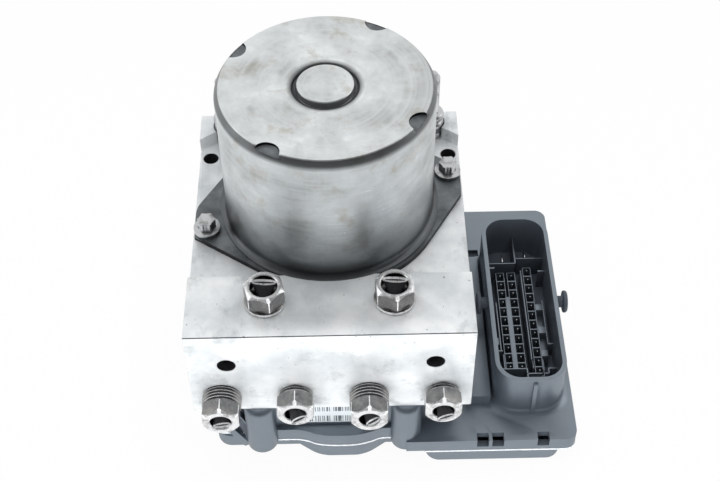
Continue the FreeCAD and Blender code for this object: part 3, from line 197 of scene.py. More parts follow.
def pick(piece, kind, wanted):
    """Select the wanted faces or edges of a piece in edit mode, and nothing else."""
    shape = bmesh.from_edit_mesh(piece.data)
    bpy.ops.mesh.select_all(action="DESELECT")
    bpy.ops.mesh.select_mode(type=kind)
    for part in shape.faces if kind == "FACE" else shape.edges:
        part.select_set(wanted(part))
    bmesh.update_edit_mesh(piece.data)


def bevel_edges(piece, width, segments, wanted):
    """Bevel the wanted edges of a piece, that many millimetres wide."""
    edit(piece)
    pick(piece, "EDGE", wanted)
    bpy.ops.mesh.bevel(offset=width * MM, segments=segments, affect="EDGES")
    leave_edit_mode()
    return piece


def settle(piece):
    only(piece)
    bpy.ops.object.transform_apply(location=True, rotation=True, scale=True)
    return piece


def modify(piece, kind, **settings):
    only(piece)
    modifier = piece.modifiers.new(kind.title(), kind)
    for key, value in settings.items():
        setattr(modifier, key, value)
    bpy.ops.object.modifier_apply(modifier=modifier.name)
    return piece


def outward(piece):
    edit(piece)
    bpy.ops.mesh.select_all(action="SELECT")
    bpy.ops.mesh.remove_doubles(threshold=0.000002)
    bpy.ops.mesh.normals_make_consistent(inside=False)
    leave_edit_mode()
    return piece


def soften(piece, width, angle=35, segments=2, clamp=True):
    if width > 0:
        modify(piece, "BEVEL", width=width * MM, segments=segments, limit_method="ANGLE",
               angle_limit=math.radians(angle), miter_outer="MITER_ARC", use_clamp_overlap=clamp)
    only(piece)
    bpy.ops.object.shade_smooth_by_angle(angle=math.radians(32))
    return piece


def carve(piece, tool, operation="DIFFERENCE"):
    modify(piece, "BOOLEAN", object=tool, operation=operation, solver="EXACT")
    bpy.data.objects.remove(tool, do_unlink=True)
    return piece


def join(name, pieces):
    only(pieces[0])
    for piece in pieces:
        piece.select_set(True)
    if len(pieces) > 1:
        bpy.ops.object.join()
    return named(name)


def twin(piece, name, offset):
    copy = piece.copy()
    copy.data = piece.data.copy()
    copy.name = name
    copy.data.name = name
    bpy.context.collection.objects.link(copy)
    copy.location = Vector(offset) * MM
    return settle(copy)


def arc(centre, radius, start, end, steps):
    """Points on an arc, as a lathe profile's (radius, height) pairs."""
    angles = [math.radians(start + (end - start) * i / steps) for i in range(steps + 1)]
    rise = radius if not isinstance(radius, tuple) else radius[1]
    run = radius if not isinstance(radius, tuple) else radius[0]
    return [(centre[0] + run * math.cos(a), centre[1] + rise * math.sin(a)) for a in angles]


def lathe(name, profile, steps=96, centre=(0, 0, 0), turn=(0, 0, 0)):
    """Spin a profile of (radius, height) points about Z, then turn it and put it in its place."""
    bpy.ops.mesh.primitive_circle_add(vertices=len(profile), radius=0.01)
    piece = named(name)
    shape = edit(piece)
    shape.verts.ensure_lookup_table()
    for vertex, (radius, height) in zip(shape.verts, profile):
        vertex.co = (radius * MM, 0, height * MM)
    bmesh.update_edit_mesh(piece.data)
    pick(piece, "EDGE", lambda line: all(abs(v.co.x) < 1e-7 for v in line.verts))
    bpy.ops.mesh.delete(type="EDGE")
    bpy.ops.mesh.select_all(action="SELECT")
    bpy.ops.mesh.spin(steps=steps, angle=math.tau, center=(0, 0, 0), axis=(0, 0, 1))
    outward(piece)
    piece.rotation_euler = [math.radians(value) for value in turn]
    piece.location = Vector(centre) * MM
    return settle(piece)


def slab(name, corners, low, high, rounds=None, segments=8):
    """A prism over an outline of (x, y) corners; rounds maps a corner's index to its radius."""
    bpy.ops.mesh.primitive_circle_add(vertices=len(corners), radius=0.01, fill_type="NGON")
    piece = named(name)
    shape = edit(piece)
    shape.verts.ensure_lookup_table()
    for vertex, (x, y) in zip(shape.verts, corners):
        vertex.co = (x * MM, y * MM, low * MM)
    bmesh.update_edit_mesh(piece.data)
    bpy.ops.mesh.select_all(action="SELECT")
    bpy.ops.mesh.extrude_region_move(TRANSFORM_OT_translate={"value": (0, 0, (high - low) * MM)})
    for index, radius in (rounds or {}).items():
        x, y = corners[index]
        place = Vector((x * MM, y * MM))
        pick(piece, "EDGE", lambda line: all((v.co.xy - place).length < 1e-6 for v in line.verts))
        bpy.ops.mesh.bevel(offset=radius * MM, segments=segments, affect="EDGES")
    return outward(piece)


def brick(name, x0, x1, y0, y1, z0, z1):
    bpy.ops.mesh.primitive_cube_add(size=1, location=((x0 + x1) / 2 * MM, (y0 + y1) / 2 * MM, (z0 + z1) / 2 * MM),
                                    scale=((x1 - x0) * MM, (y1 - y0) * MM, (z1 - z0) * MM))
    return settle(named(name))


def round_post(name, x, y, radius, low, high, vertices=48):
    bpy.ops.mesh.primitive_cylinder_add(vertices=vertices, radius=radius * MM, depth=(high - low) * MM,
                                        location=(x * MM, y * MM, (low + high) / 2 * MM))
    return settle(named(name))


def copy_of(node, name):
    """A merged copy of a CAD node's mesh, with its flat triangles joined into faces."""
    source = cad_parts[node]
    copy = bpy.data.objects.new(name, source.data.copy())
    copy.data.name = name
    bpy.context.collection.objects.link(copy)
    edit(copy)
    bpy.ops.mesh.select_all(action="SELECT")
    bpy.ops.mesh.remove_doubles(threshold=0.000005)
    bpy.ops.mesh.dissolve_limited(angle_limit=math.radians(0.6))
    leave_edit_mode()
    return copy


def paint(piece, finishes, choose=None):
    """Give a piece its finishes, and each face the one whose number choose returns for its place and normal."""
    piece.data.materials.clear()
    for name in finishes:
        piece.data.materials.append(finish_of(name))
    for face in piece.data.polygons if choose else ():
        face.material_index = choose(face.center / MM, face.normal)
    return piece


def stand_in(piece, node):
    """Let a finished piece take the place of a CAD node on the unit's body."""
    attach(piece, UNIT)
    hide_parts(node)
    return piece


# Helpers for materials
def add(tree, kind, inputs=(), **settings):
    """Add one node: its inputs, by name or in order, are links, values or hex colours."""
    made = tree.nodes.new("ShaderNode" + kind)
    for key, value in settings.items():
        setattr(made, key, value)
    for socket, value in inputs.items() if isinstance(inputs, dict) else enumerate(inputs):
        if isinstance(value, bpy.types.NodeSocket):
            tree.links.new(value, made.inputs[socket])
        else:
            made.inputs[socket].default_value = linear(value) if isinstance(value, str) else value
    return made.outputs


def new_material(name):
    material = bpy.data.materials.new(name)
    material.use_nodes = True
    tree = material.node_tree
    tree.nodes.clear()
    return material, tree, add(tree, "TexCoord")["Object"]


def per_metre(millimetres):
    """A texture scale that repeats about once in that many millimetres."""
    return 1 / (millimetres * MM)


def speckle(tree, place, grain, detail=5.0, roughness=0.6, stretch=(1, 1, 1)):
    """Patches about that many millimetres wide, drawn out along an axis by stretch."""
    spread = add(tree, "Mapping", {"Vector": place, "Scale": [per_metre(grain) / part for part in stretch]})[0]
    return add(tree, "TexNoise", {"Vector": spread, "Scale": 1.0, "Detail": detail, "Roughness": roughness})["Fac"]


def tinted(tree, pattern, span, first, second, most=1.0):
    """One colour that goes over into another, by that much at most, where the pattern rises through the span."""
    share = add(tree, "MapRange", (pattern, *span, 0.0, most))[0]
    return add(tree, "Mix", {0: share, 6: first, 7: second}, data_type="RGBA")[2]


def skin(material, tree, tone, rough, relief=None, depth=0.0, strength=0.5, metallic=0.0, constants=None):
    """End a material with its colour, its roughness and a relief of that many millimetres."""
    inputs = {"Base Color": tone, "Roughness": rough, "Metallic": metallic, **(constants or {})}
    if relief is not None:
        inputs["Normal"] = add(tree, "Bump", {"Height": relief, "Distance": depth * MM, "Strength": strength})[0]
    add(tree, "OutputMaterial", {"Surface": add(tree, "BsdfPrincipled", inputs)[0]})
    return material


def two_tone(name, first, second, grain, rough=0.5, detail=(5.0, 0.6), stretch=(1, 1, 1), span=(0.35, 0.65),
             fine=None, depth=0.02, strength=0.5, metallic=0.0):
    """A material of two close tones in patches of that grain, with relief from them or from a finer grain."""
    material, tree, place = new_material(name)
    patches = speckle(tree, place, grain, *detail, stretch=stretch)
    relief = speckle(tree, place, fine, 3.0, 0.6) if fine else patches if depth else None
    if isinstance(rough, tuple):
        rough = add(tree, "MapRange", (patches, *rough))[0]
    return skin(material, tree, tinted(tree, patches, span, first, second), rough, relief, depth, strength, metallic)


def milled_aluminium():
    # Cast aluminium plate milled all over: crossing cutter lines, a satin sheen, a thin oxide that
    # scatters part of the light, grey handling stains and small dents. The cutter lines are 0.2 mm
    # apart on the real part and drawn at 0.8 mm to show.
    material, tree, place = new_material("Milled aluminium")
    along = speckle(tree, place, 0.8, 3.0, 0.6, stretch=(30, 1, 1))
    across = speckle(tree, place, 0.9, 3.0, 0.6, stretch=(1, 26, 26))
    cutter = add(tree, "Math", (along, across))[0]
    cloud = speckle(tree, place, 16, 5.0, 0.62)
    stain = speckle(tree, place, 9, 7.0, 0.7, stretch=(1, 1.6, 1))
    dents = speckle(tree, place, 1.3, 2.0, 0.5)
    tone = tinted(tree, cloud, (0.35, 0.65), colours().aluminium, "#D3D8DB")
    tone = tinted(tree, stain, (0.54, 0.70), tone, colours().aluminium_stain, 0.55)
    tone = tinted(tree, dents, (0.71, 0.75), tone, "#6E7173", 0.7)
    satin = add(tree, "MapRange", (cutter, 0.7, 1.3, 0.42, 0.56))[0]
    dulled = add(tree, "MapRange", (stain, 0.54, 0.70, 0.0, 0.10))[0]
    rough = add(tree, "Math", (satin, dulled))[0]
    pits = add(tree, "MapRange", (dents, 0.71, 0.75, 0.0, 1.5))[0]
    relief = add(tree, "Math", (cutter, pits), operation="SUBTRACT")[0]
    return skin(material, tree, tone, rough, relief, 0.012, 0.6, metallic=0.38)


def drawn_steel():
    # Deep drawn steel cup, tumbled: a dull satin with rings on its top from the draw, faint upright
    # drag marks on its wall, cloudy grey wipe marks and a few brown traces. Painted shade darkens its
    # groove and the rounding of its rim, and its wall is painted darker than its top and towards its foot.
    material, tree, place = new_material("Deep drawn steel")
    x, y, height = add(tree, "SeparateXYZ", (place,))
    radius = add(tree, "VectorMath", (add(tree, "CombineXYZ", (x, y))[0],), operation="LENGTH")["Value"]
    crown, foot = CAN_HIGH[2] - sizes().hub_rise, CAN_LOW[2]
    rings = speckle(tree, add(tree, "CombineXYZ", (radius,))[0], 2.4, 4.0, 0.65)
    drag = speckle(tree, place, 0.7, 4.0, 0.6, stretch=(1, 1, 24))
    hoops = speckle(tree, place, 0.8, 3.0, 0.6, stretch=(26, 26, 1))
    cloud = speckle(tree, place, 13, 6.0, 0.62, stretch=(1.5, 1.5, 1))
    brown = speckle(tree, place, 13, 5.0, 0.7)
    on_top = add(tree, "MapRange", (height, (crown - 2.6) * MM, (crown - 1.4) * MM))[0]
    wall_grain = add(tree, "Mix", {0: 0.75, 2: drag, 3: hoops})[0]
    grain = add(tree, "Mix", {0: on_top, 2: wall_grain, 3: rings})[0]
    tone = tinted(tree, cloud, (0.38, 0.62), "#A6A9A7", colours().can_steel)
    tone = tinted(tree, grain, (0.3, 0.7), tone, "#D6DADB")
    # Painted shade: the wall is painted darker than the top.
    tone = tinted(tree, on_top, (1.0, 0.0), tone, "#8B9398", 0.3)
    tone = tinted(tree, brown, (0.54, 0.70), tone, colours().can_stain, 0.5)
    # Painted shade in the hub's groove, in the rim's rounding, at the foot, and growing towards the foot
    # Each patch of painted shade is a product of ramps, given as (measure, start, end, height) in mm
    patches = (
        ((radius, 9.0, 9.3, 1.0), (radius, 12.5, 10.7, 1.0), (height, crown - 3.6, crown - 3.0, 0.9)),
        ((radius, 33.72, 33.98, 1.0), (height, crown - 3.6, crown - 2.0, 0.8)),
        ((height, foot + 5.2, foot + 2.4, 0.85),),
        ((height, foot + 31.2, foot + 4.2, 0.85),),
    )
    grime = 0.0
    for ramps in patches:
        patch = 1.0
        for measure, start, end, most in ramps:
            ramp = add(tree, "MapRange", (measure, start * MM, end * MM, 0.0, most))[0]
            patch = add(tree, "Math", (patch, ramp), operation="MULTIPLY")[0]
        grime = add(tree, "Math", (grime, patch), operation="MAXIMUM")[0]
    # Painted shade: the patches darken the tone towards #3F4245.
    tone = tinted(tree, grime, (0.0, 1.0), tone, "#3F4245")
    cloudy = add(tree, "MapRange", (cloud, 0.3, 0.7, 0.40, 0.27))[0]
    grainy = add(tree, "MapRange", (grain, 0.3, 0.7, -0.04, 0.06))[0]
    rough = add(tree, "Math", (cloudy, grainy))[0]
    return skin(material, tree, tone, rough, grain, 0.009, 0.6, metallic=0.85)


def filmed_steel():
    # Sheet steel flange with a thin grey film of dried fluid; its upright sides are painted dark as shade
    material, tree, place = new_material("Sheet steel with a grey film")
    film = speckle(tree, place, 7, 6.0, 0.65)
    fine = speckle(tree, place, 0.6, 3.0, 0.6)
    facing = add(tree, "SeparateXYZ", (add(tree, "NewGeometry")["Normal"],))
    level = add(tree, "Math", (facing[2],), operation="ABSOLUTE")[0]
    tone = tinted(tree, film, (0.35, 0.66), colours().flange_steel, "#5F6365")
    # Painted shade: faces that stand upright are darkened towards #1E2022.
    tone = tinted(tree, level, (0.6, 0.3), tone, "#1E2022")
    rough = add(tree, "MapRange", (film, 0.3, 0.7, 0.38, 0.52))[0]
    return skin(material, tree, tone, rough, fine, 0.01, 0.5, metallic=0.85)


def laminated_steel():
    # Stack of punched sheets, dark blue grey from annealing, with a line at each sheet. The sheets are
    # 0.5 mm thick and their lines are drawn 3.16 mm apart. A wave texture has 20 / tau lines a unit.
    material, tree, place = new_material("Laminated sheet steel")
    wave = {"Vector": place, "Scale": per_metre(3.16) * math.tau / 20}
    lines = add(tree, "TexWave", wave, bands_direction="Z")["Fac"]
    tone = tinted(tree, lines, (0.0, 1.0), "#5D6268", "#8A8F95")
    return skin(material, tree, tone, 0.42, lines, 0.04, 0.7, metallic=1.0)


def filled_polyester(name, base, clouded, constants):
    # Injection moulded polyester with glass fibre: charcoal, a satin skin with a very fine spark grain,
    # slightly greyer where fibres reach the surface. The grain is 0.1 mm and drawn at 0.35 mm.
    material, tree, place = new_material(name)
    cloud = speckle(tree, place, 11, 4.0, 0.6)
    tone = tinted(tree, cloud, (0.3, 0.7), base, clouded, 0.35)
    tone = tinted(tree, speckle(tree, place, 2.2, 6.0, 0.75), (0.60, 0.78), tone, "#8A939C", 0.12)
    rough = add(tree, "MapRange", (cloud, 0.3, 0.7, 0.33, 0.44))[0]
    # The pale blue Specular Tint is painted light: a cool tint of the reflections, not a colour of the plastic.
    return skin(material, tree, tone, rough, speckle(tree, place, 0.35, 2.0, 0.5), 0.010, 0.45,
                constants={"Specular Tint": linear("#E2EEFA"), **constants})


def bar_film():
    # White polyester label film printed with two rows of plain bars of uneven width. The bars are
    # drawn by a random value for each 0.3 mm step across the film.
    material, tree, place = new_material("Printed label film")
    across, _, up = add(tree, "SeparateXYZ", (place,))
    steps = add(tree, "Math", (across, per_metre(0.3)), operation="MULTIPLY")[0]
    step = add(tree, "Math", (steps,), operation="FLOOR")[0]
    chance = add(tree, "TexWhiteNoise", {"W": step}, noise_dimensions="1D")["Value"]
    ink = add(tree, "Math", (chance, 0.52), operation="GREATER_THAN")[0]
    middle, half = (LABEL_LOW[0] + LABEL_HIGH[0]) / 2, (LABEL_HIGH[0] - LABEL_LOW[0]) / 2
    lower, upper, margin = [
        add(tree, "Math", (measure, centre * MM, reach * MM), operation="COMPARE")[0]
        for measure, centre, reach in ((up, LABEL_LOW[2] + 2.1, 1.7), (up, LABEL_LOW[2] + 8.45, 2.05),
                                       (across, middle, half - 1.2))]
    for mask in (add(tree, "Math", (lower, upper), operation="MAXIMUM")[0], margin):
        ink = add(tree, "Math", (ink, mask), operation="MULTIPLY")[0]
    wear = add(tree, "MapRange", (speckle(tree, place, 1.5, 5.0, 0.7), 0.62, 0.72))[0]
    ink = add(tree, "Math", (ink, wear), operation="SUBTRACT", use_clamp=True)[0]
    return skin(material, tree, tinted(tree, ink, (0.0, 1.0), colours().label, colours().label_bar), 0.35)


def finish_makers():
    """What makes each finish, by its short name."""
    tones = colours()
    # Turned steel with bright zinc plating: shiny, with dark grime in its grain
    plating = dict(grain=3.2, rough=(0.35, 0.7, 0.20, 0.42), detail=(6.0, 0.7), span=(0.50, 0.72), fine=0.45,
                   depth=0.012)
    return {
        "aluminium": milled_aluminium, "can": drawn_steel, "flange": filmed_steel, "sheets": laminated_steel,
        "label": bar_film,
        # The open and the socket plastics are lit and shaded copies of one plastic: the open copy's strong
        # reflection is a painted sheen, and the socket copy's weak reflection is painted shade.
        "plastic": lambda: filled_polyester("Glass filled polyester", tones.plastic, "#383D44",
                                            {"IOR": 2.1, "Specular IOR Level": 1.0}),
        "socket": lambda: filled_polyester("Glass filled polyester, shaded copy", tones.plastic_shaded_copy, "#434950",
                                           {"IOR": 1.57, "Specular IOR Level": 0.25}),
        "zinc": lambda: two_tone("Zinc plated steel", tones.zinc_steel, tones.zinc_grime, metallic=1.0, **plating),
        # The nuts' bright end faces; their thread crests take this finish too, as a painted highlight.
        "end": lambda: two_tone("Bright zinc plated end", tones.nut_end_tone, tones.zinc_grime, metallic=0.75,
                                **plating),
        # Painted highlight: a bright, half dull copy of the plating for the nuts' corners and ridges, as glints.
        "painted_glint": lambda: two_tone("Zinc plating with painted glints", tones.ridge_glint, tones.zinc_grime, metallic=0.25,
                                 **plating),
        # Zinc nickel plating with a black passivation, rubbed grey where the spanner slid: dark and half dull
        "flank": lambda: two_tone("Passivated steel", tones.nut_flank, "#A3A29F", 2.4, (0.3, 0.7, 0.26, 0.40),
                                  (6.0, 0.7), span=(0.35, 0.68), fine=0.5, depth=0.012, metallic=1.0),
        # Coated steel pipe cut with pliers: pale torn metal with fine folds
        "pipe": lambda: two_tone("Crushed pipe steel", "#ECEDEE", "#77797A", 0.8, 0.30, (5.0, 0.7),
                                 span=(0.52, 0.70), depth=0.05, strength=0.7, metallic=0.6),
        # Hardened steel ground round: almost mirror bright with very fine hoops
        "ground": lambda: two_tone("Ground bearing steel", "#BFC2C5", "#D4D7D9", 0.5, (0.3, 0.7, 0.12, 0.22),
                                   (2.0, 0.5), (12, 12, 1), (0.3, 0.7), depth=0, metallic=1.0),
        # Enamelled copper wire wound in layers, 0.6 mm thick: fine hoops and a warm gloss
        "copper": lambda: two_tone("Enamelled copper wire", tones.copper, "#7E4520", 0.6, 0.30, (2.0, 0.5),
                                   (10, 10, 1), depth=0.10, strength=0.7, metallic=1.0),
        # Glass fibre board with green solder resist: glossy, with the weave faintly showing
        "board": lambda: two_tone("Circuit laminate", "#1C5A34", "#2A7045", 0.8, 0.28, (1.0, 0.4), (6, 1, 1),
                                  (0.3, 0.7), depth=0),
        # Bronze pins dipped in tin: bright and smooth
        "contact": lambda: two_tone("Tin plated bronze", tones.contact, "#C2C5C6", 1.0, 0.2, depth=0.01,
                                    metallic=1.0),
        # Painted shade: nearly black, for the block's open holes and the pipes' sides deep in the nuts
        "bore": lambda: two_tone("Near black painted shade", "#1B1C1E", "#2A2B2D", 1.0, 0.55, depth=0.05),
        # Moulded nitrile rubber: black and dull
        "rubber": lambda: two_tone("Moulded nitrile rubber", tones.rubber, "#2B2C2E", 2.0, 0.7),
        # Silicone laid as a bead: pale, with a soft sheen
        "seam": lambda: two_tone("Light silicone bead", tones.seam, "#D5DCE2", 1.5, 0.45),
        # Sintered ferrite magnets: dark grey and stony
        "ferrite": lambda: two_tone("Sintered ferrite", "#2C2D30", "#3B3C40", 1.2, 0.6),
        # Pressed carbon brushes: black with a slight graphite sheen
        "carbon": lambda: two_tone("Pressed carbon", "#17181A", "#26272A", 0.8),
        # Phenolic resin plate: brown with darker fibre patches
        "resin": lambda: two_tone("Phenolic resin plate", "#4A3626", "#5B4431", 2.5),
        # Hard drawn spring wire: bright and grey
        "spring": lambda: two_tone("Drawn spring wire", "#A4A7AA", "#86898C", 0.7, 0.28, metallic=1.0),
        # Aluminium plugs staked in: satin and a little darker than the block
        "plug": lambda: two_tone("Staked aluminium plug", "#C9CDD0", "#A9ADB0", 1.6, 0.38, metallic=1.0),
    }


FINISHES = {}


def finish_of(name):
    """Make each finish once and share it."""
    if name not in FINISHES:
        FINISHES[name] = finish_makers()[name]()
    return FINISHES[name]


# The block and the motor's housing. Holes are given as their two places and a reach over their radius.
FRONT_HOLES = (33.45, 54.2, 3.2)
REAR_HOLES = (42.2, 23.6, 2.85)
HOLE_MOUTH = 0.4
REAR_LEVEL = 63.6
NOTCH_ANGLES = (149, 60, -31, -121)
CAN_SHEET = 1.8
CAN_FOOT = 1.5
BEARING_SEAT = (8.05, 9.65, 7.0, 2.0)


class BRAKE_OT_block(bpy.types.Operator):
    """Soften the milled block's edges and hole mouths"""
    bl_idname = "brake.block"
    bl_label = "Milled block"

    def execute(self, context):
        block = soften(copy_of("hydraulic_block", "block"), sizes().edge, clamp=False)
        stand_in(paint(block, ("aluminium", "bore", "flange"), self.surface_of), "hydraulic_block")
        return {"FINISHED"}

    @staticmethod
    def surface_of(place, normal):
        """Milled, or painted shade in an open hole below its softened mouth (1), or a painted dark line on the
        front's top edge (2).
        """
        x, y, z = place
        # Painted shade: open holes below their mouths take the near black bore finish.
        hole_x, hole_z, hole_reach = FRONT_HOLES
        front = math.hypot(abs(x) - hole_x, z - hole_z) < hole_reach and y > BLOCK_LOW[1] + HOLE_MOUTH
        hole_x, hole_y, hole_reach = REAR_HOLES
        rear = math.hypot(abs(x) - hole_x, y - hole_y) < hole_reach and z < REAR_LEVEL - HOLE_MOUTH
        if front or rear:
            return 1
        # Painted shade: the bevel on the front's top edge takes the darker flange finish as a dark line.
        edge = normal.y < -0.3 and normal.z > 0.3 and z > BLOCK_HIGH[2] - 0.5 and y < BLOCK_LOW[1] + 1
        return 2 if edge else 0


def can_outline():
    """The can as a lathe profile: inside, rounded foot, wall, rim with its line, dish, rings, groove and hub."""
    size = sizes()
    top = CAN_HIGH[2] - size.hub_rise
    foot = CAN_LOW[2] + CAN_FOOT
    edge = size.can_radius
    wall = edge - CAN_SHEET
    drop = size.can_round_drop
    rim = [(edge, top - drop - 0.6), (edge, top - drop - 0.3), (edge - 0.1, top - drop + 0.4),
           (edge - 0.55, top - drop + 1.2), (edge - 0.9, top - drop + 1.72), (edge - 1.2, top - 0.4),
           (size.can_flat_radius, top)]
    dish = top - size.dish_depth
    ring = size.ring_radius
    groove = size.hub_groove_radius
    face = [(size.dish_radius + 0.8, top), (size.dish_radius, top - 0.03), (size.dish_radius - 2.6, dish + 0.03),
            (size.dish_radius - 3.6, dish), (ring + 2.2, dish), (ring + 1.0, dish + 0.3), (ring, dish + 0.42),
            (ring - 1.0, dish + 0.28), (ring - 2.2, dish), (groove + 1.4, dish - 0.05)]
    hub = size.hub_radius
    groove_floor = arc((groove + 0.8, dish - 1.4), (1.2, 1.25), 90, 180, 8) + [(hub + 0.25, dish - 1.9)]
    hub_side = [(hub, dish - 1.7), (hub, CAN_HIGH[2] - 0.35)]
    hub_top = [(hub - 0.3, CAN_HIGH[2] - 0.04), (hub - 1.2, CAN_HIGH[2])]
    foot_round = arc((edge + 2.0, foot + 2.0), 2.0, 270, 180, 8)
    bore, boss, seat, sheet = BEARING_SEAT
    inner = [(0, top - 0.45), (bore, top - 0.45), (bore, top - seat), (boss, top - seat), (boss, top - sheet),
             (wall, top - sheet), (wall, CAN_LOW[2] + 0.05), (edge + 1.6, CAN_LOW[2] + 0.05)]
    return inner + foot_round + rim + face + groove_floor + hub_side + hub_top + [(0, CAN_HIGH[2])]


class BRAKE_OT_motor_can(bpy.types.Operator):
    """Spin the motor can and press its four notches"""
    bl_idname = "brake.motor_can"
    bl_label = "Motor can"

    def execute(self, context):
        size = sizes()
        can = lathe("can_shell", can_outline(), steps=144)
        top = CAN_HIGH[2] - size.hub_rise
        keep = size.can_radius - 0.75
        over = 1.5
        for index, (x, y) in enumerate(self.notch_places()):
            notch = round_post("notch_tool_%d" % index, x, y, size.notch_radius, top - size.notch_depth,
                               top + size.notch_depth + 2 * over, 40)
            modify(notch, "BEVEL", width=0.5 * MM, segments=3, limit_method="ANGLE", angle_limit=math.radians(40))
            inside = lathe("notch_keep_%d" % index, [(0, top - 9), (keep, top - 9), (keep, top + 9), (0, top + 9)],
                           steps=144)
            carve(can, carve(notch, inside, "INTERSECT"))
        # Painted shade: the notches take the darker flange finish.
        stand_in(paint(soften(can, 0.12, angle=40), ("can", "flange"), self.surface_of), "motor_can")
        stand_in(paint(soften(self.flange(), 0.07), ["flange"]), "motor_can")
        return {"FINISHED"}

    @staticmethod
    def notch_places():
        reach = sizes().can_radius - 0.6
        return [(reach * math.cos(math.radians(angle)), reach * math.sin(math.radians(angle)))
                for angle in NOTCH_ANGLES]

    def surface_of(self, place, normal):
        """Drawn steel, or the notch's floor and wall in the darker flange finish, as painted shade (1)."""
        size = sizes()
        x, y, z = place
        top = CAN_HIGH[2] - size.hub_rise
        ring = size.dish_radius - 4.0 < math.hypot(x, y) < size.can_radius - 0.6
        level = top - size.notch_depth - 0.6 < z < top - 0.12
        near = any(math.hypot(x - notch_x, y - notch_y) < size.notch_radius + 0.05
                   for notch_x, notch_y in self.notch_places())
        return int(ring and level and near)

    @staticmethod
    def flange():
        """The sheet flange under the can: a disc with an ear each way, and a second sheet a little smaller."""
        size = sizes()
        low = CAN_LOW[2]
        reach = CAN_HIGH[0]
        ear = []
        for y, side in ((size.ear_high, 1), (size.ear_low, -1)):
            turn = math.atan2(y, reach) + side * math.acos(size.flange_radius / math.hypot(reach, y))
            tangent = (size.flange_radius * math.cos(turn), size.flange_radius * math.sin(turn))
            ear += [tangent, (reach, y)] if side > 0 else [(reach, y), tangent]
        corners = ear + [(-x, -y) for x, y in ear]
        rounds = {1: 3.5, 2: 2.5, 5: 3.5, 6: 2.5}
        sheets = []
        for index, (bottom, top) in enumerate(((low, low + 0.9), (low + 0.8, low + 1.5))):
            sheet = slab("flange_sheet_%d" % index, corners, bottom, top, rounds, 6)
            carve(sheet, round_post("flange_disc_%d" % index, 0, 0, size.flange_radius, bottom, top, 144), "UNION")
            sheets.append(outward(sheet))
        plate, step = sheets
        carve(step, round_post("step_limit", 0, 0, size.flange_radius + 1.8, low - 1, low + 3, 144), "INTERSECT")
        carve(plate, step, "UNION")
        carve(plate, round_post("flange_inside", 0, 0, size.can_radius - CAN_SHEET, low - 1, low + 3, 144))
        for index, side in enumerate((-1, 1)):
            x, y = side * size.can_screw_x, side * size.can_screw_y
            carve(plate, round_post("screw_hole_%d" % index, x, y, 2.8, low - 1, low + 3, 32))
            carve(plate, round_post("spot_face_%d" % index, x, y, 4.8, low + 0.9, low + 3, 48))
        return outward(plate)


class BRAKE_OT_motor_fixings(bpy.types.Operator):
    """Soften the plate under the can and the two motor screws"""
    bl_idname = "brake.motor_fixings"
    bl_label = "Motor plate and screws"

    def execute(self, context):
        plate = soften(copy_of("motor_end_shield", "end_shield"), 0.15)
        stand_in(paint(plate, ["flange"]), "motor_end_shield")
        screws = soften(copy_of("motor_screws", "can_screws"), 0.25)
        stand_in(paint(screws, ["zinc"]), "motor_screws")
        return {"FINISHED"}


# Tube nuts, pipe ends and studs
NUT_BORE = 2.6
PIPE_SPINS = {1: 12, 2: 40, 3: 45, 4: 28}
STUD_ROD = 3.0
STUD_DEPTH = 5.4
STUD_COLLAR = 10.8
STUD_BEADS = 3


def thread_profile(radius, start, end, pitch):
    """A ridged stretch of a lathe profile, from the start height to the end height."""
    depth = sizes().thread_depth
    count = max(1, round(abs(end - start) / pitch))
    step = (end - start) / count
    points = []
    for index in range(count):
        foot = start + index * step
        points += [(radius - depth, foot + 0.08 * step), (radius - 0.06, foot + 0.42 * step),
                   (radius - 0.06, foot + 0.58 * step), (radius - depth, foot + 0.92 * step)]
    return points


def make_nut(name, port, depth, hex_length, rim, mouth):
    """One tube nut on Z = 0: a hexagon with both ends chamfered, on a collar with the given profile."""
    size = sizes()
    collar = rim[-1][1]
    top = collar + hex_length
    corner = size.nut_flats / math.sqrt(3)
    flat = size.nut_flats / 2
    low = collar - 0.2
    nut = bevel_edges(round_post(name, 0, 0, corner, low, top, 6), 0.2, 1,
                      lambda line: abs(line.verts[0].co.z - line.verts[1].co.z) > MM)
    envelope = lathe(name + "_envelope", [(0, low - 1), (flat + 0.1, low - 1), (flat + 0.1, low), (corner, low + 0.9),
                                          (corner, top - size.nut_chamfer), (flat - 0.35, top), (0, top)], steps=64)
    carve(nut, envelope, "INTERSECT")
    neck = port - 1.0
    thread = lathe(name + "_thread", [(0, 0.4 - depth), (neck, 0.4 - depth), (neck, 0)] + rim +
                   [(neck, collar), (neck, collar + 0.6), (0, collar + 0.6)], steps=72)
    carve(nut, thread, "UNION")
    carve(nut, lathe(name + "_mouth", [(0, -depth - 1), (NUT_BORE, -depth - 1), (NUT_BORE, top - 5.0),
                                       (mouth, top - 4.0), (mouth, top - 0.35), (mouth + 0.45, top + 0.1),
                                       (mouth + 0.45, top + 1), (0, top + 1)], steps=48))

    def surface_of(place, normal):
        """Bright end finish on the end faces and, as a painted highlight, the thread's crests (0); painted glints on
        corners and ridges (2); dark elsewhere (1).
        """
        z, reach = place.z, math.hypot(place.x, place.y)
        end = normal.z > 0.35 and z > top - 1.6 and reach > mouth - 0.1
        # Painted highlight: chamfered corners and the hexagon's ridges take the bright glint finish.
        corner_chamfer = normal.z > 0.2 and z > top - size.nut_chamfer and reach > flat + 0.2
        ridge = abs(normal.z) < 0.2 and z > collar and reach > flat + 0.45
        # Painted highlight: the thread's crests take the bright end finish.
        crest = z < collar and reach > rim[0][0] + 0.25 and normal.z < 0.3
        return 2 if corner_chamfer or ridge else 0 if end or crest else 1

    return paint(soften(nut, 0.12, angle=31), ("end", "flank", "painted_glint"), surface_of)


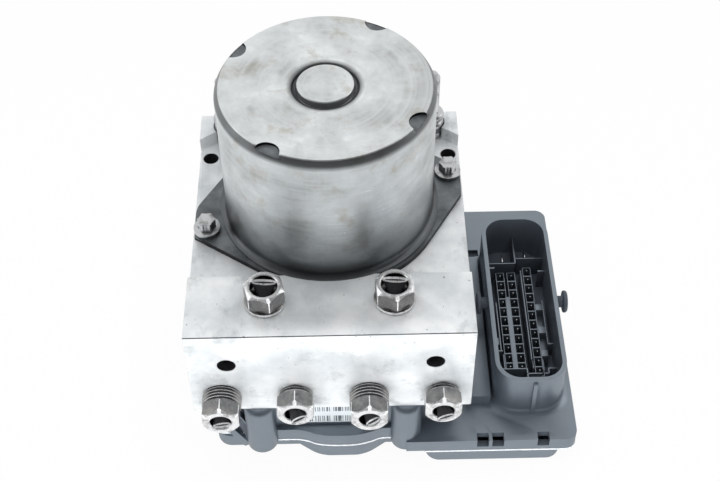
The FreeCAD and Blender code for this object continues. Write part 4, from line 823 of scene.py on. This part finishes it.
def make_pipe_end(name, reach, start, wide, thin, shift):
    """A pipe whose end is squashed flat, that wide and thin, to one side of the nut's mouth."""
    radius = sizes().pipe_radius
    squash = 3.4
    pipe = round_post(name, 0, 0, radius, start, reach - squash, 32)
    edit(pipe)
    pick(pipe, "FACE", lambda face: face.normal.z > 0.9)
    last, across, along = 0.0, 1.0, 1.0
    for share in (0.35, 0.7, 0.88, 1.0):
        bpy.ops.mesh.extrude_region_move(TRANSFORM_OT_translate={
            "value": (0, shift * (share - last) * MM, squash * (share - last) * MM)})
        now_across = 1 + (wide / 2 / radius - 1) * share
        now_along = 1 + (thin / 2 / radius - 1) * share
        bpy.ops.transform.resize(value=(now_across / across, now_along / along, 1))
        last, across, along = share, now_across, now_along
    bpy.ops.mesh.inset(thickness=0.28 * MM, depth=-0.8 * MM)
    soften(outward(pipe), 0.08, angle=40)
    # Painted shade: the pipe's sides below its tip, deep in the nut, take the near black bore finish.
    return paint(pipe, ("pipe", "bore"), lambda place, normal: int(normal.z <= 0.3 and place.z <= reach - 0.6))


class BRAKE_OT_line_fittings(bpy.types.Operator):
    """Make the tube nuts with their threads, and the squashed pipe ends in them"""
    bl_idname = "brake.line_fittings"
    bl_label = "Tube nuts and pipes"

    def execute(self, context):
        size = sizes()
        forward, upward = (90, 0, 0), (0, 0, 0)
        for index in range(1, 5):
            low, high = node_box("outlet_nut_%d" % index)
            place = ((low[0] + high[0]) / 2, BLOCK_LOW[1], (low[2] + high[2]) / 2)
            reach = BLOCK_LOW[1] - low[1]
            collar = reach - size.nut_hex_length
            port, radius, proud = (6, 6.5, -0.05) if index % 2 else (5, 5.6, 1.3)
            rim = thread_profile(radius, 0.15, collar - 0.1, size.line_thread_pitch) + [(radius - 0.5, collar)]
            nut = make_nut("line_nut_%d" % index, port, 9.2, size.nut_hex_length, rim, 3.5)
            stand_in(self.put(nut, forward, place, 0), "outlet_nut_%d" % index)
            pipe = make_pipe_end("line_pipe_%d" % index, reach + proud, -3.5, 6.4, 2.1, -1.8)
            stand_in(self.put(pipe, forward, place, PIPE_SPINS[index]), "outlet_pipe_%d" % index)
        for side, spin in (("left", 16), ("right", 6)):
            low, high = node_box("inlet_nut_" + side)
            place = ((low[0] + high[0]) / 2, (low[1] + high[1]) / 2, BLOCK_HIGH[2])
            rim = [(6.3, 0.02), (6.6, 0.3), (6.6, 1.4), (6.2, 1.8)]
            nut = make_nut("supply_nut_" + side, 6, 11.6, size.inlet_hex_length, rim, 4.4)
            stand_in(self.put(nut, upward, place, spin), "inlet_nut_" + side)
            pipe = make_pipe_end("supply_pipe_" + side, 8.1, -5, 8.6, 1.7, 1.8)
            stand_in(self.put(pipe, upward, place, -4), "inlet_pipe_" + side)
        return {"FINISHED"}

    @staticmethod
    def put(piece, turn, place, spin):
        """Spin a fitting about its own axis, turn it to its face and move it there."""
        piece.rotation_euler = (0, 0, math.radians(spin))
        settle(piece)
        piece.rotation_euler = [math.radians(value) for value in turn]
        piece.location = Vector(place) * MM
        return settle(piece)


class BRAKE_OT_studs(bpy.types.Operator):
    """Turn the two mounting studs with their beaded collars and threads"""
    bl_idname = "brake.studs"
    bl_label = "Mounting studs"

    def execute(self, context):
        for side in ("left", "right"):
            low, high = node_box("mounting_stud_" + side)
            x, y = (low[0] + high[0]) / 2, (low[1] + high[1]) / 2
            foot = BLOCK_HIGH[2] - STUD_DEPTH
            top = foot + STUD_COLLAR
            radius = (high[0] - low[0]) / 2
            bead = STUD_COLLAR / STUD_BEADS
            profile = [(0, low[2]), (STUD_ROD, low[2]), (STUD_ROD, foot), (radius - 1.0, foot)]
            for index in range(STUD_BEADS):
                profile += arc((radius - 1.3, foot + (index + 0.5) * bead), (1.3, bead / 2 - 0.12), -80, 80, 8)
            profile.append((STUD_ROD - 0.5, top))
            profile += thread_profile(STUD_ROD, top + 0.3, high[2] - 1.0, sizes().thread_pitch)
            profile += [(STUD_ROD - 0.9, high[2]), (0, high[2])]
            stud = soften(lathe("stud_" + side, profile, steps=48, centre=(x, y, 0)), 0)
            stand_in(paint(stud, ["zinc"]), "mounting_stud_" + side)
        return {"FINISHED"}


# Control unit
LEFT_EDGE = HOUSING_LOW[0]
BACK_EDGE = HOUSING_HIGH[1]
FRONTS = {"left": -55.2, "middle": -58.4, "bulge": -61.2, "right": HOUSING_LOW[1]}
RIGHT_EDGE = 83.3
COLUMN_X = 24.7
COLUMN_Y = -58.5
COLUMN_RADIUS = 5.25
COLUMN_ROUND = 2.2
BULGE = (-10.3, -5.0, 10.5, 15.8)
SHROUD = (55.4, 79.8, -53.0, 22.0)
RISER = (42.0, -54.6, -56.2, 37.0)
REAR_BOSS = (36.0, 30.0)
NOTCHES = (48.9, 54.1, 69.6)
NOTCH_WIDTH = 4.0
NOTCH_DEPTH = 3.6
DECK_ROUNDS = {0: 4, 1: 4, 4: 3, 5: 5, 6: 5, 7: 3, 10: 4, 11: 4}
RIDGE = (46.5, 54.4, -49.2, 14.5)
SHROUD_RIB = (67.8, 69.2)
FLARE = ((0.9, 0.12), (0.7, 0.35), (0.5, 0.6), (0.35, 0.8), (0.4, 0.9))
SCREW_BORE = 2.05
SCREW_HEAD = (3.6, 4.1)
GROOVE = (46.5, 55.6, 18.5, 21.9)
SEAM_LEVELS = (6.7, 7.4)


def deck_outline(inset=0.0):
    left, right, back = LEFT_EDGE + inset, RIGHT_EDGE - inset, BACK_EDGE - inset
    front = {key: value + inset for key, value in FRONTS.items()}
    step = COLUMN_X + inset
    return [(left, back), (left, front["left"]), (-COLUMN_X, front["left"]), (-COLUMN_X, front["middle"]),
            (BULGE[0], front["middle"]), (BULGE[1], front["bulge"]), (BULGE[2], front["bulge"]),
            (BULGE[3], front["middle"]),
            (step, front["middle"]), (step, front["right"]), (right, front["right"]), (right, back)]


def riser_outline(inset=0.0):
    side, shoulder, front, back = RISER
    side, shoulder, front, back = side - inset, shoulder + inset, front + inset, back - inset
    middle = COLUMN_X - inset
    return [(-side, back), (-side, shoulder), (-middle, shoulder), (-middle, front), (middle, front),
            (middle, shoulder), (side, shoulder), (side, back)]


def shroud_shell():
    """The connector's wall: a rounded prism with a flared foot, hollowed from above."""
    size = sizes()
    x0, x1, y0, y1 = SHROUD
    deck = size.deck_height
    top = deck + size.shroud_height
    corners = [(x0, y0), (x1, y0), (x1, y1), (x0, y1)]
    rounds = {index: size.shroud_round for index in range(4)}
    shell = slab("shroud", corners, deck + 2.6, top, rounds, 12)
    edit(shell)
    centre = ((x0 + x1) / 2 * MM, (y0 + y1) / 2 * MM, 0)
    reach = 0.0
    for drop, out in FLARE:
        pick(shell, "FACE", lambda face: face.normal.z < -0.9)
        bpy.ops.mesh.extrude_region_move(TRANSFORM_OT_translate={"value": (0, 0, -drop * MM)})
        wide, long = ((span + 2 * (reach + out)) / (span + 2 * reach) for span in (x1 - x0, y1 - y0))
        bpy.ops.transform.resize(value=(wide, long, 1), center_override=centre)
        reach += out
    leave_edit_mode()
    return carve(shell, brick("shroud_rib", *SHROUD_RIB, y0 - 1.0, y0 + 0.6, deck + 0.4, top - 1.5), "UNION")


def housing_tools():
    size = sizes()
    wall = size.shroud_wall
    x0, x1, y0, y1 = SHROUD
    socket = slab("socket_tool", [(x0 + wall, y0 + wall), (x1 - wall, y0 + wall), (x1 - wall, y1 - wall),
                                  (x0 + wall, y1 - wall)], size.deck_height,
                  size.deck_height + size.shroud_height + 2,
                  {index: size.shroud_round - wall for index in range(4)}, 10)
    tools = [socket,
             slab("hollow_tool", deck_outline(2.5), size.rim_bottom - 1, size.deck_height - 2.5),
             slab("well_tool", riser_outline(1.8), size.rim_bottom - 1, BLOCK_LOW[2] + 1),
             brick("groove_tool", *GROOVE, size.deck_height - 1.6, size.deck_height + 0.9)]
    for index, x in enumerate(NOTCHES):
        tools.append(brick("notch_tool_%d" % index, x, x + NOTCH_WIDTH, FRONTS["right"] - 1, FRONTS["right"] + 3.2,
                           size.deck_height - NOTCH_DEPTH, size.deck_height + 1))
    return tools


class BRAKE_OT_housing(bpy.types.Operator):
    """Build the control unit's housing: deck, riser, columns, shroud and ridge"""
    bl_idname = "brake.housing"
    bl_label = "Control unit housing"

    def execute(self, context):
        size = sizes()
        deck = size.deck_height
        top = BLOCK_LOW[2]
        body = slab("housing", deck_outline(), size.rim_bottom, deck, DECK_ROUNDS)
        parts = [slab("riser", riser_outline(), deck - 0.5, top - 0.8), shroud_shell(),
                 brick("ridge", *RIDGE, deck - 0.5, deck + 4.6)]
        for part in parts:
            carve(body, part, "UNION")
        for tool in housing_tools():
            carve(body, tool)
        for index, side in enumerate((-1, 1)):
            column = round_post("column_%d" % index, side * COLUMN_X, COLUMN_Y, COLUMN_RADIUS, size.rim_bottom, top)
            bevel_edges(column, COLUMN_ROUND, 4, lambda line: all(v.co.z > top * MM - 1e-6 for v in line.verts))
            carve(body, column, "UNION")
            carve(body, round_post("rear_boss_%d" % index, side * REAR_BOSS[0], REAR_BOSS[1], COLUMN_RADIUS,
                                   size.rim_bottom, top - 0.8), "UNION")
        posts = [(side * x, y) for x, y in ((COLUMN_X, COLUMN_Y), REAR_BOSS) for side in (-1, 1)]
        for index, (x, y) in enumerate(posts):
            carve(body, round_post("bore_%d" % index, x, y, SCREW_BORE, size.rim_bottom - 1, top + 1, 32))
            carve(body, round_post("counterbore_%d" % index, x, y, SCREW_HEAD[0], size.rim_bottom - 1,
                                   size.rim_bottom + SCREW_HEAD[1], 40))
        soften(outward(body), size.moulded_edge, angle=38, segments=3)
        stand_in(paint(body, ("plastic", "socket"), self.surface_of), "ecu_housing")
        self.gussets()
        self.seam()
        return {"FINISHED"}

    @staticmethod
    def surface_of(place, normal):
        """Open skin, or the shaded copy of the plastic as painted shade in the socket, the deck's groove and its
        front edge's notches (1).
        """
        size = sizes()
        deck = size.deck_height
        reach = size.shroud_wall - 0.1
        x, y, z = place
        x0, x1, y0, y1 = SHROUD
        inward = normal.x * ((x0 + x1) / 2 - x) + normal.y * ((y0 + y1) / 2 - y) > 0.0
        socket = (x0 + reach < x < x1 - reach and y0 + reach < y < y1 - reach
                  and deck - 0.5 < z < deck + size.shroud_height - 0.3 and (inward or normal.z > 0.9))
        left, right, front, back = GROOVE
        groove = left - 0.1 < x < right and front - 0.1 < y < back + 0.1 and z < deck - 0.1
        notch = (any(left - 0.05 < x < left + NOTCH_WIDTH + 0.05 for left in NOTCHES)
                 and 0.02 < y - FRONTS["right"] < 3.25 and deck - NOTCH_DEPTH - 0.1 < z < deck - 0.3)
        return int(socket or groove or notch)

    @staticmethod
    def gussets():
        """The strut from the left column down to the deck's front edge, with a thin rib over it, and a thin dark
        sheet by them as painted shade.
        """
        bars = []
        for index, (start, end, thick, front) in enumerate((((-36.4, 13.6), (-30.4, 2.4), 2.4, -57.4),
                                                            ((-32.6, 22.0), (-29.2, 14.2), 0.7, -57.6))):
            run, rise = end[0] - start[0], end[1] - start[1]
            bar = brick("gusset_%d" % index, 0, math.hypot(run, rise), 0, -55.0 - front, -thick / 2, thick / 2)
            bar.rotation_euler = (0, math.atan2(-rise, run), 0)
            bar.location = (start[0] * MM, front * MM, start[1] * MM)
            bars.append(settle(bar))
        bar = soften(join("gussets", bars), 0.2)
        stand_in(paint(bar, ["plastic"]), "ecu_housing")
        # Painted shade: a thin sheet in the shaded copy of the plastic, standing where only shade falls.
        corners = [(-32.4, 19.5), (-29.3, 14.0), (-29.4, 6.0), (-30.2, 6.0), (-33.0, 17.5)]
        shade_sheet = slab("gusset_web", corners, 56.9, 57.3)
        shade_sheet.rotation_euler = (math.radians(90), 0, 0)
        stand_in(paint(settle(shade_sheet), ["socket"]), "ecu_housing")

    @staticmethod
    def seam():
        """The light sealing bead that shows as a thin line under the housing's edge."""
        corners = [(x, min(y, BACK_EDGE - 0.1)) for x, y in deck_outline(-0.12)]
        bead = slab("seam_bead", corners, *SEAM_LEVELS, DECK_ROUNDS)
        carve(bead, slab("seam_inside", deck_outline(2.0), 6.0, 8.0))
        carve(bead, brick("seam_end", 19.2, 31.0, -66.0, -60.0, 6.0, 8.0))
        stand_in(paint(soften(bead, 0.1), ["seam"]), "cover_seal")


def socket_walls():
    """Outlines of the walls in the socket by name, as (x0, x1, y0, y1, height above the deck)."""
    x0, x1, y0, y1 = SHROUD
    left, right = x0 + 1.3, x1 - 1.3
    high = sizes().partition_height
    low = sizes().cell_height
    wall = 0.45
    return {
        "cross_left": (left, 68.2, 7.0, 7.0 + wall, high),
        "cross_right": (68.2 - wall, right, 9.3, 9.3 + wall, high),
        "cross_up": (68.2 - wall, 68.2, 7.0, y1 - 1.3, high),
        "tab_left": (left, 60.1, 4.8, 5.5, high),
        "tab_right": (75.8, right, 2.9, 3.6, high),
        "long": (69.3, 69.3 + wall, -37.1, 3.7, high),
        "long_end": (70.0, 70.4, -39.0, -35.6, low),
        "end_left": (left, 67.7, -41.2, -41.2 + wall, high),
        "end_up": (67.7 - wall, 67.7, y0 + 1.3, -41.0, high),
        "end_right": (67.7 - wall, 72.6, -43.3, -43.3 + wall, high),
        "hook_foot": (73.5, 75.2, -43.3, -43.3 + wall, high),
        "hook_side": (75.2 - wall, 75.2, -43.3, -41.0, high),
        "hook_top": (75.2 - wall, 78.0, -41.2, -41.2 + wall, high),
        "between": (63.1, 64.8, -41.0, -6.6, low + 0.05),
        "left_guide": (59.3, 59.75, -31.3, -9.3, low + 0.3),
        "left_foot": (left, 60.1, -31.5, -31.0, low + 0.3),
        "left_block": (left, 59.5, -28.0, -25.0, low - 0.4),
        "left_rim": (60.0, 60.4, -40.9, -32.6, low),
        "right_rail": (73.3, 73.7, -39.8, -8.6, low + 0.3),
        "right_far_rail": (76.2, 76.6, -28.6, -8.6, low + 0.3),
        "right_tab": (76.2, right, -28.8, -28.2, low + 0.3),
        "right_floor": (73.5, 76.4, -33.0, -9.0, low - 3.4),
        "rung_0": (73.5, 76.4, -13.1, -10.3, low + 0.1),
        "rung_1": (73.5, 76.4, -23.6, -20.6, low + 0.1),
        "rung_2": (73.5, 76.0, -33.8, -31.1, low + 0.1),
        "right_wedge": (73.5, 74.2, -39.6, -34.8, low - 0.5),
    }


class BRAKE_OT_socket(bpy.types.Operator):
    """Fill the connector socket with its low walls, pin collars, contacts and side pegs"""
    bl_idname = "brake.socket"
    bl_label = "Connector socket"

    def execute(self, context):
        size = sizes()
        floor = size.deck_height - 0.4
        walls = [brick("wall_" + name, *span, floor, size.deck_height + rise)
                 for name, (*span, rise) in socket_walls().items()]
        for piece in walls:
            soften(piece, 0.08)
        places = self.pin_places()
        collar = self.pin_collar()
        collars = [twin(collar, "collar_%d" % index, (x, y, 0)) for index, (x, y) in enumerate(places)]
        bpy.data.objects.remove(collar, do_unlink=True)
        # Painted light: tops of the walls and collars take the open plastic, their sides and feet the shaded copy as
        # painted shade.
        for name, pieces in (("socket_walls", walls), ("pin_collars", collars)):
            piece = paint(join(name, pieces), ("plastic", "socket"),
                          lambda place, normal: int(normal.z <= 0.5 or place.z <= size.deck_height + 1))
            stand_in(piece, "ecu_housing")
        self.contacts(places)
        self.pegs()
        return {"FINISHED"}

    @staticmethod
    def pin_places():
        low, high = node_box("signal_pins")
        pitch = (high[1] - low[1] - 0.7) / 11
        first = high[1] - 0.35
        places = [(x, first - 2.3 - index * 4.14) for x in (low[0] + 0.35, 66.2) for index in range(11)]
        return places + [(high[0] - 0.35, first - index * pitch) for index in range(12)]

    @staticmethod
    def pin_collar():
        """A square collar round one contact, open in the middle."""
        deck = sizes().deck_height
        rise = sizes().cell_height
        collar = brick("pin_collar", -1.55, 1.55, -2.07, 2.07, deck - 0.3, deck + rise)
        edit(collar)
        pick(collar, "FACE", lambda face: face.normal.z > 0.9)
        bpy.ops.mesh.inset(thickness=0.2 * MM)
        bpy.ops.mesh.extrude_region_move(TRANSFORM_OT_translate={"value": (0, 0, -rise * MM)})
        leave_edit_mode()
        return collar

    @staticmethod
    def blade(name, across, along, low, high):
        """One contact with a tapered tip."""
        pin = brick(name, -across / 2, across / 2, -along / 2, along / 2, low, high - 0.9)
        edit(pin)
        pick(pin, "FACE", lambda face: face.normal.z > 0.9)
        bpy.ops.mesh.extrude_region_move(TRANSFORM_OT_translate={"value": (0, 0, 0.9 * MM)})
        bpy.ops.transform.resize(value=(0.45, 0.45 if along < 2 else 0.85, 1))
        leave_edit_mode()
        return soften(pin, 0.05)

    def contacts(self, places):
        size = sizes()
        low, high = node_box("signal_pins")
        pin = self.blade("pin", size.pin_width, size.pin_width, low[2], high[2])
        pins = [twin(pin, "pin_%d" % index, (x, y, 0)) for index, (x, y) in enumerate(places)]
        bpy.data.objects.remove(pin, do_unlink=True)
        stand_in(paint(join("contact_pins", pins), ["contact"]), "signal_pins")
        low, high = node_box("power_blades")
        blade = self.blade("blade", 0.8, 3.6, low[2], high[2])
        blades = [twin(blade, "blade_0", (low[0] + 0.4, low[1] + 1.8, 0)),
                  twin(blade, "blade_1", (high[0] - 0.4, high[1] - 1.8, 0))]
        bpy.data.objects.remove(blade, do_unlink=True)
        stand_in(paint(join("contact_blades", blades), ["contact"]), "power_blades")

    @staticmethod
    def pegs():
        """The two side pegs that a plug's lever hooks onto."""
        x0, x1, y0, y1 = SHROUD
        profile = [(0, -0.5), (2.1, -0.5), (2.1, 2.4), (3.7, 2.4), (4.0, 2.7), (4.0, 3.4), (3.6, 3.9), (0, 3.9)]
        pegs = []
        for side, x, turn in (("left", x0, -90), ("right", x1, 90)):
            pegs.append(lathe("peg_" + side, profile, steps=40, centre=(x, (y0 + y1) / 2, sizes().deck_height + 14),
                              turn=(0, turn, 0)))
        pegs = soften(join("lever_pegs", pegs), 0.12)
        # Painted shade: the pegs take the shaded copy of the plastic.
        stand_in(paint(pegs, ["socket"]), "ecu_housing")


class BRAKE_OT_cover(bpy.types.Operator):
    """Round over the control unit's cover and lay on the label"""
    bl_idname = "brake.cover"
    bl_label = "Cover and label"

    def execute(self, context):
        cover = bevel_edges(
            copy_of("ecu_cover", "unit_cover"), 3.5, 5,
            lambda line: abs(line.verts[0].co.z - line.verts[1].co.z) > 3 * MM
            and all(BULGE[0] - 0.7 < v.co.x / MM < BULGE[3] + 0.7 and v.co.y / MM < -57 for v in line.verts))
        edit(cover)
        pick(cover, "EDGE", lambda line: all(v.co.z < 0.1 * MM for v in line.verts) and len(line.link_faces) == 2
             and any(abs(face.normal.z) < 0.1 for face in line.link_faces))
        bpy.ops.mesh.bevel(offset=1.1 * MM, segments=4, affect="EDGES", clamp_overlap=True)
        leave_edit_mode()
        stand_in(paint(soften(cover, 0.0), ["plastic"]), "ecu_cover")
        film = brick("label_film", *[side[axis] for axis in range(3) for side in (LABEL_LOW, LABEL_HIGH)])
        bevel_edges(film, 0.8, 4, lambda line: abs(line.verts[0].co.y - line.verts[1].co.y) > 0.1 * MM)
        stand_in(paint(soften(film, 0.03), ["label"]), "bar_label")
        return {"FINISHED"}


class BRAKE_OT_chamber_springs(bpy.types.Operator):
    """Give the return springs of the pressure chambers their own meshes and the spring finish"""
    bl_idname = "brake.chamber_springs"
    bl_label = "Chamber springs"

    def execute(self, context):
        for side in ("left", "right"):
            node, joint = "chamber_spring_" + side, "chamber_stroke_" + side
            spring = stand_in(paint(copy_of(node, "return_spring_" + side), ["spring"]), node)
            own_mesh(spring)
        return {"FINISHED"}


class BRAKE_OT_inner_parts(bpy.types.Operator):
    """Give every carried-over solid its finish"""
    bl_idname = "brake.inner_parts"
    bl_label = "Carried-over parts"

    def execute(self, context):
        by_start = {
            "aluminium": ("hydraulic_block", "chamber_piston"), "board": ("circuit_board",),
            "can": ("motor_can",), "carbon": ("brushes",), "contact": ("signal_pins", "power_blades"),
            "copper": ("armature_windings", "commutator", "valve_coils"), "ferrite": ("magnet",),
            "flange": ("motor_end_shield",), "label": ("bar_label",), "pipe": ("outlet_pipe", "inlet_pipe"),
            "ground": ("pump_piston", "gallery_balls", "eccentric_ring", "motor_shaft", "front_bearing",
                       "rear_bearing"),
            "plastic": ("ecu_housing", "ecu_cover"), "plug": ("pump_plugs", "chamber_caps"),
            "resin": ("brush_plate",), "rubber": ("block_gasket",), "seam": ("cover_seal",),
            "sheets": ("armature_core",), "spring": ("chamber_spring", "pump_spring"),
            "zinc": ("motor_screws", "ecu_screws", "valve_bodies", "valve_plunger", "outlet_nut", "inlet_nut",
                     "mounting_stud"),
        }
        for name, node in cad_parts.items():
            fitting = [finish for finish, starts in by_start.items() if name.startswith(starts)]
            if len(fitting) != 1:
                raise RuntimeError("no single finish for " + name)
            paint(node, fitting)
        return {"FINISHED"}


# Floor, lights and camera
CAMERA_PLACE = (7.687, -308.986, 392.884)
CAMERA_TURN = (41.5725, 0.5045, -1.0461)
CAMERA_LENS = 65.507
SOFTBOXES = (
    ("back_softbox", (40, 420, 520), (10, 0, 60), 620, 420, 0.9, False),
    ("front_softbox", (-60, -620, 70), (0, -40, 40), 900, 120, 4.2, False),
    ("top_softbox", (0, -150, 620), (0, -30, 60), 700, 500, 2.7, False),
    ("left_softbox", (-480, -60, 260), (0, 0, 60), 300, 360, 0.3, True),
    ("right_softbox", (520, 40, 300), (20, 0, 40), 300, 360, 0.3, True),
)


def studio_floor():
    """White sweep: it is white to the camera and to glossy rays, and still takes the object's shadow."""
    material, tree, _ = new_material("Studio paper")
    path = add(tree, "LightPath")
    to_camera = add(tree, "Math", (path["Is Camera Ray"], 0.95), operation="MULTIPLY")[0]
    seen = add(tree, "Math", (to_camera, path["Is Glossy Ray"]), operation="MAXIMUM")[0]
    paper = add(tree, "BsdfDiffuse", {"Color": colours().floor})[0]
    glow = add(tree, "Emission", {"Strength": 1.0})[0]
    add(tree, "OutputMaterial", {"Surface": add(tree, "MixShader", (seen, paper, glow))[0]})
    return material


def softbox(name, place, aim, width, height, power, in_gloss):
    """An area light at a place in mm, turned to its aim; in_gloss says whether glossy rays see it."""
    data = bpy.data.lights.new(name, "AREA")
    data.shape = "RECTANGLE"
    data.size, data.size_y = width * MM, height * MM
    data.energy = power
    lamp = bpy.data.objects.new(name, data)
    bpy.context.collection.objects.link(lamp)
    lamp.location = Vector(place) * MM
    lamp.rotation_euler = (Vector(aim) - Vector(place)).to_track_quat("-Z", "Y").to_euler()
    lamp.visible_glossy = in_gloss


def sky():
    """White to the camera, and to other rays bright behind the object, darker in front and above."""
    world = bpy.data.worlds.new("Studio")
    bpy.context.scene.world = world
    world.use_nodes = True
    tree = world.node_tree
    tree.nodes.clear()
    path = add(tree, "LightPath")
    direction = add(tree, "SeparateXYZ", (add(tree, "TexCoord")["Generated"],))
    back = add(tree, "MapRange", (direction[1], -0.22, 0.25, 0.08, 0.98))[0]
    share = add(tree, "MapRange", (path["Is Glossy Ray"], 0.0, 1.0, 0.42, 1.0))[0]
    level = add(tree, "Math", (back, share), operation="MULTIPLY")[0]
    strength = add(tree, "Mix", {0: path["Is Camera Ray"], 2: level, 3: 1.0})[0]
    light = add(tree, "Background", {"Color": (1, 1, 1, 1), "Strength": strength})[0]
    add(tree, "OutputWorld", {"Surface": light})


class BRAKE_OT_stage(bpy.types.Operator):
    """Set up the floor, the soft lights, the sky and the camera"""
    bl_idname = "brake.stage"
    bl_label = "Studio"

    def execute(self, context):
        leave_edit_mode()
        bpy.ops.mesh.primitive_plane_add(size=6.0, location=(0, 0, -0.0002))
        floor = named("floor")
        floor.data.materials.append(studio_floor())
        for row in SOFTBOXES:
            softbox(*row)
        sky()
        data = bpy.data.cameras.new("camera")
        data.lens = CAMERA_LENS
        data.sensor_width = 36
        data.clip_start = 0.01
        data.clip_end = 20
        camera = bpy.data.objects.new("camera", data)
        context.collection.objects.link(camera)
        camera.location = Vector(CAMERA_PLACE) * MM
        camera.rotation_euler = [math.radians(value) for value in CAMERA_TURN]
        context.scene.camera = camera
        context.scene.view_settings.view_transform = "Standard"
        return {"FINISHED"}


class BRAKE_PT_panel(bpy.types.Panel):
    """Lists the unit's pieces and sizes in the 3D view's sidebar"""
    bl_idname = "BRAKE_PT_panel"
    bl_label = "Brake pressure module"
    bl_space_type = "VIEW_3D"
    bl_region_type = "UI"
    bl_category = "Brake unit"

    def draw(self, context):
        layout = self.layout
        for operator in OPERATORS:
            layout.operator(operator.bl_idname)
        scene = context.scene
        for group in (scene.brake_unit_sizes, scene.brake_unit_colours):
            for name in type(group).__annotations__:
                layout.prop(group, name)


OPERATORS = (
    BRAKE_OT_block,
    BRAKE_OT_motor_can,
    BRAKE_OT_motor_fixings,
    BRAKE_OT_line_fittings,
    BRAKE_OT_studs,
    BRAKE_OT_housing,
    BRAKE_OT_socket,
    BRAKE_OT_cover,
    BRAKE_OT_chamber_springs,
    BRAKE_OT_inner_parts,
    BRAKE_OT_stage,
)
CLASSES = (BrakeUnitSizes, BrakeUnitColours) + OPERATORS + (BRAKE_PT_panel,)


def register():
    for cls in CLASSES:
        bpy.utils.register_class(cls)
    bpy.types.Scene.brake_unit_sizes = bpy.props.PointerProperty(type=BrakeUnitSizes)
    bpy.types.Scene.brake_unit_colours = bpy.props.PointerProperty(type=BrakeUnitColours)


def unregister():
    del bpy.types.Scene.brake_unit_sizes
    del bpy.types.Scene.brake_unit_colours
    for cls in reversed(CLASSES):
        bpy.utils.unregister_class(cls)


def main():
    register()
    for operator in OPERATORS:
        group, name = operator.bl_idname.split(".")
        getattr(getattr(bpy.ops, group), name)()


if __name__ == "__main__":
    main()
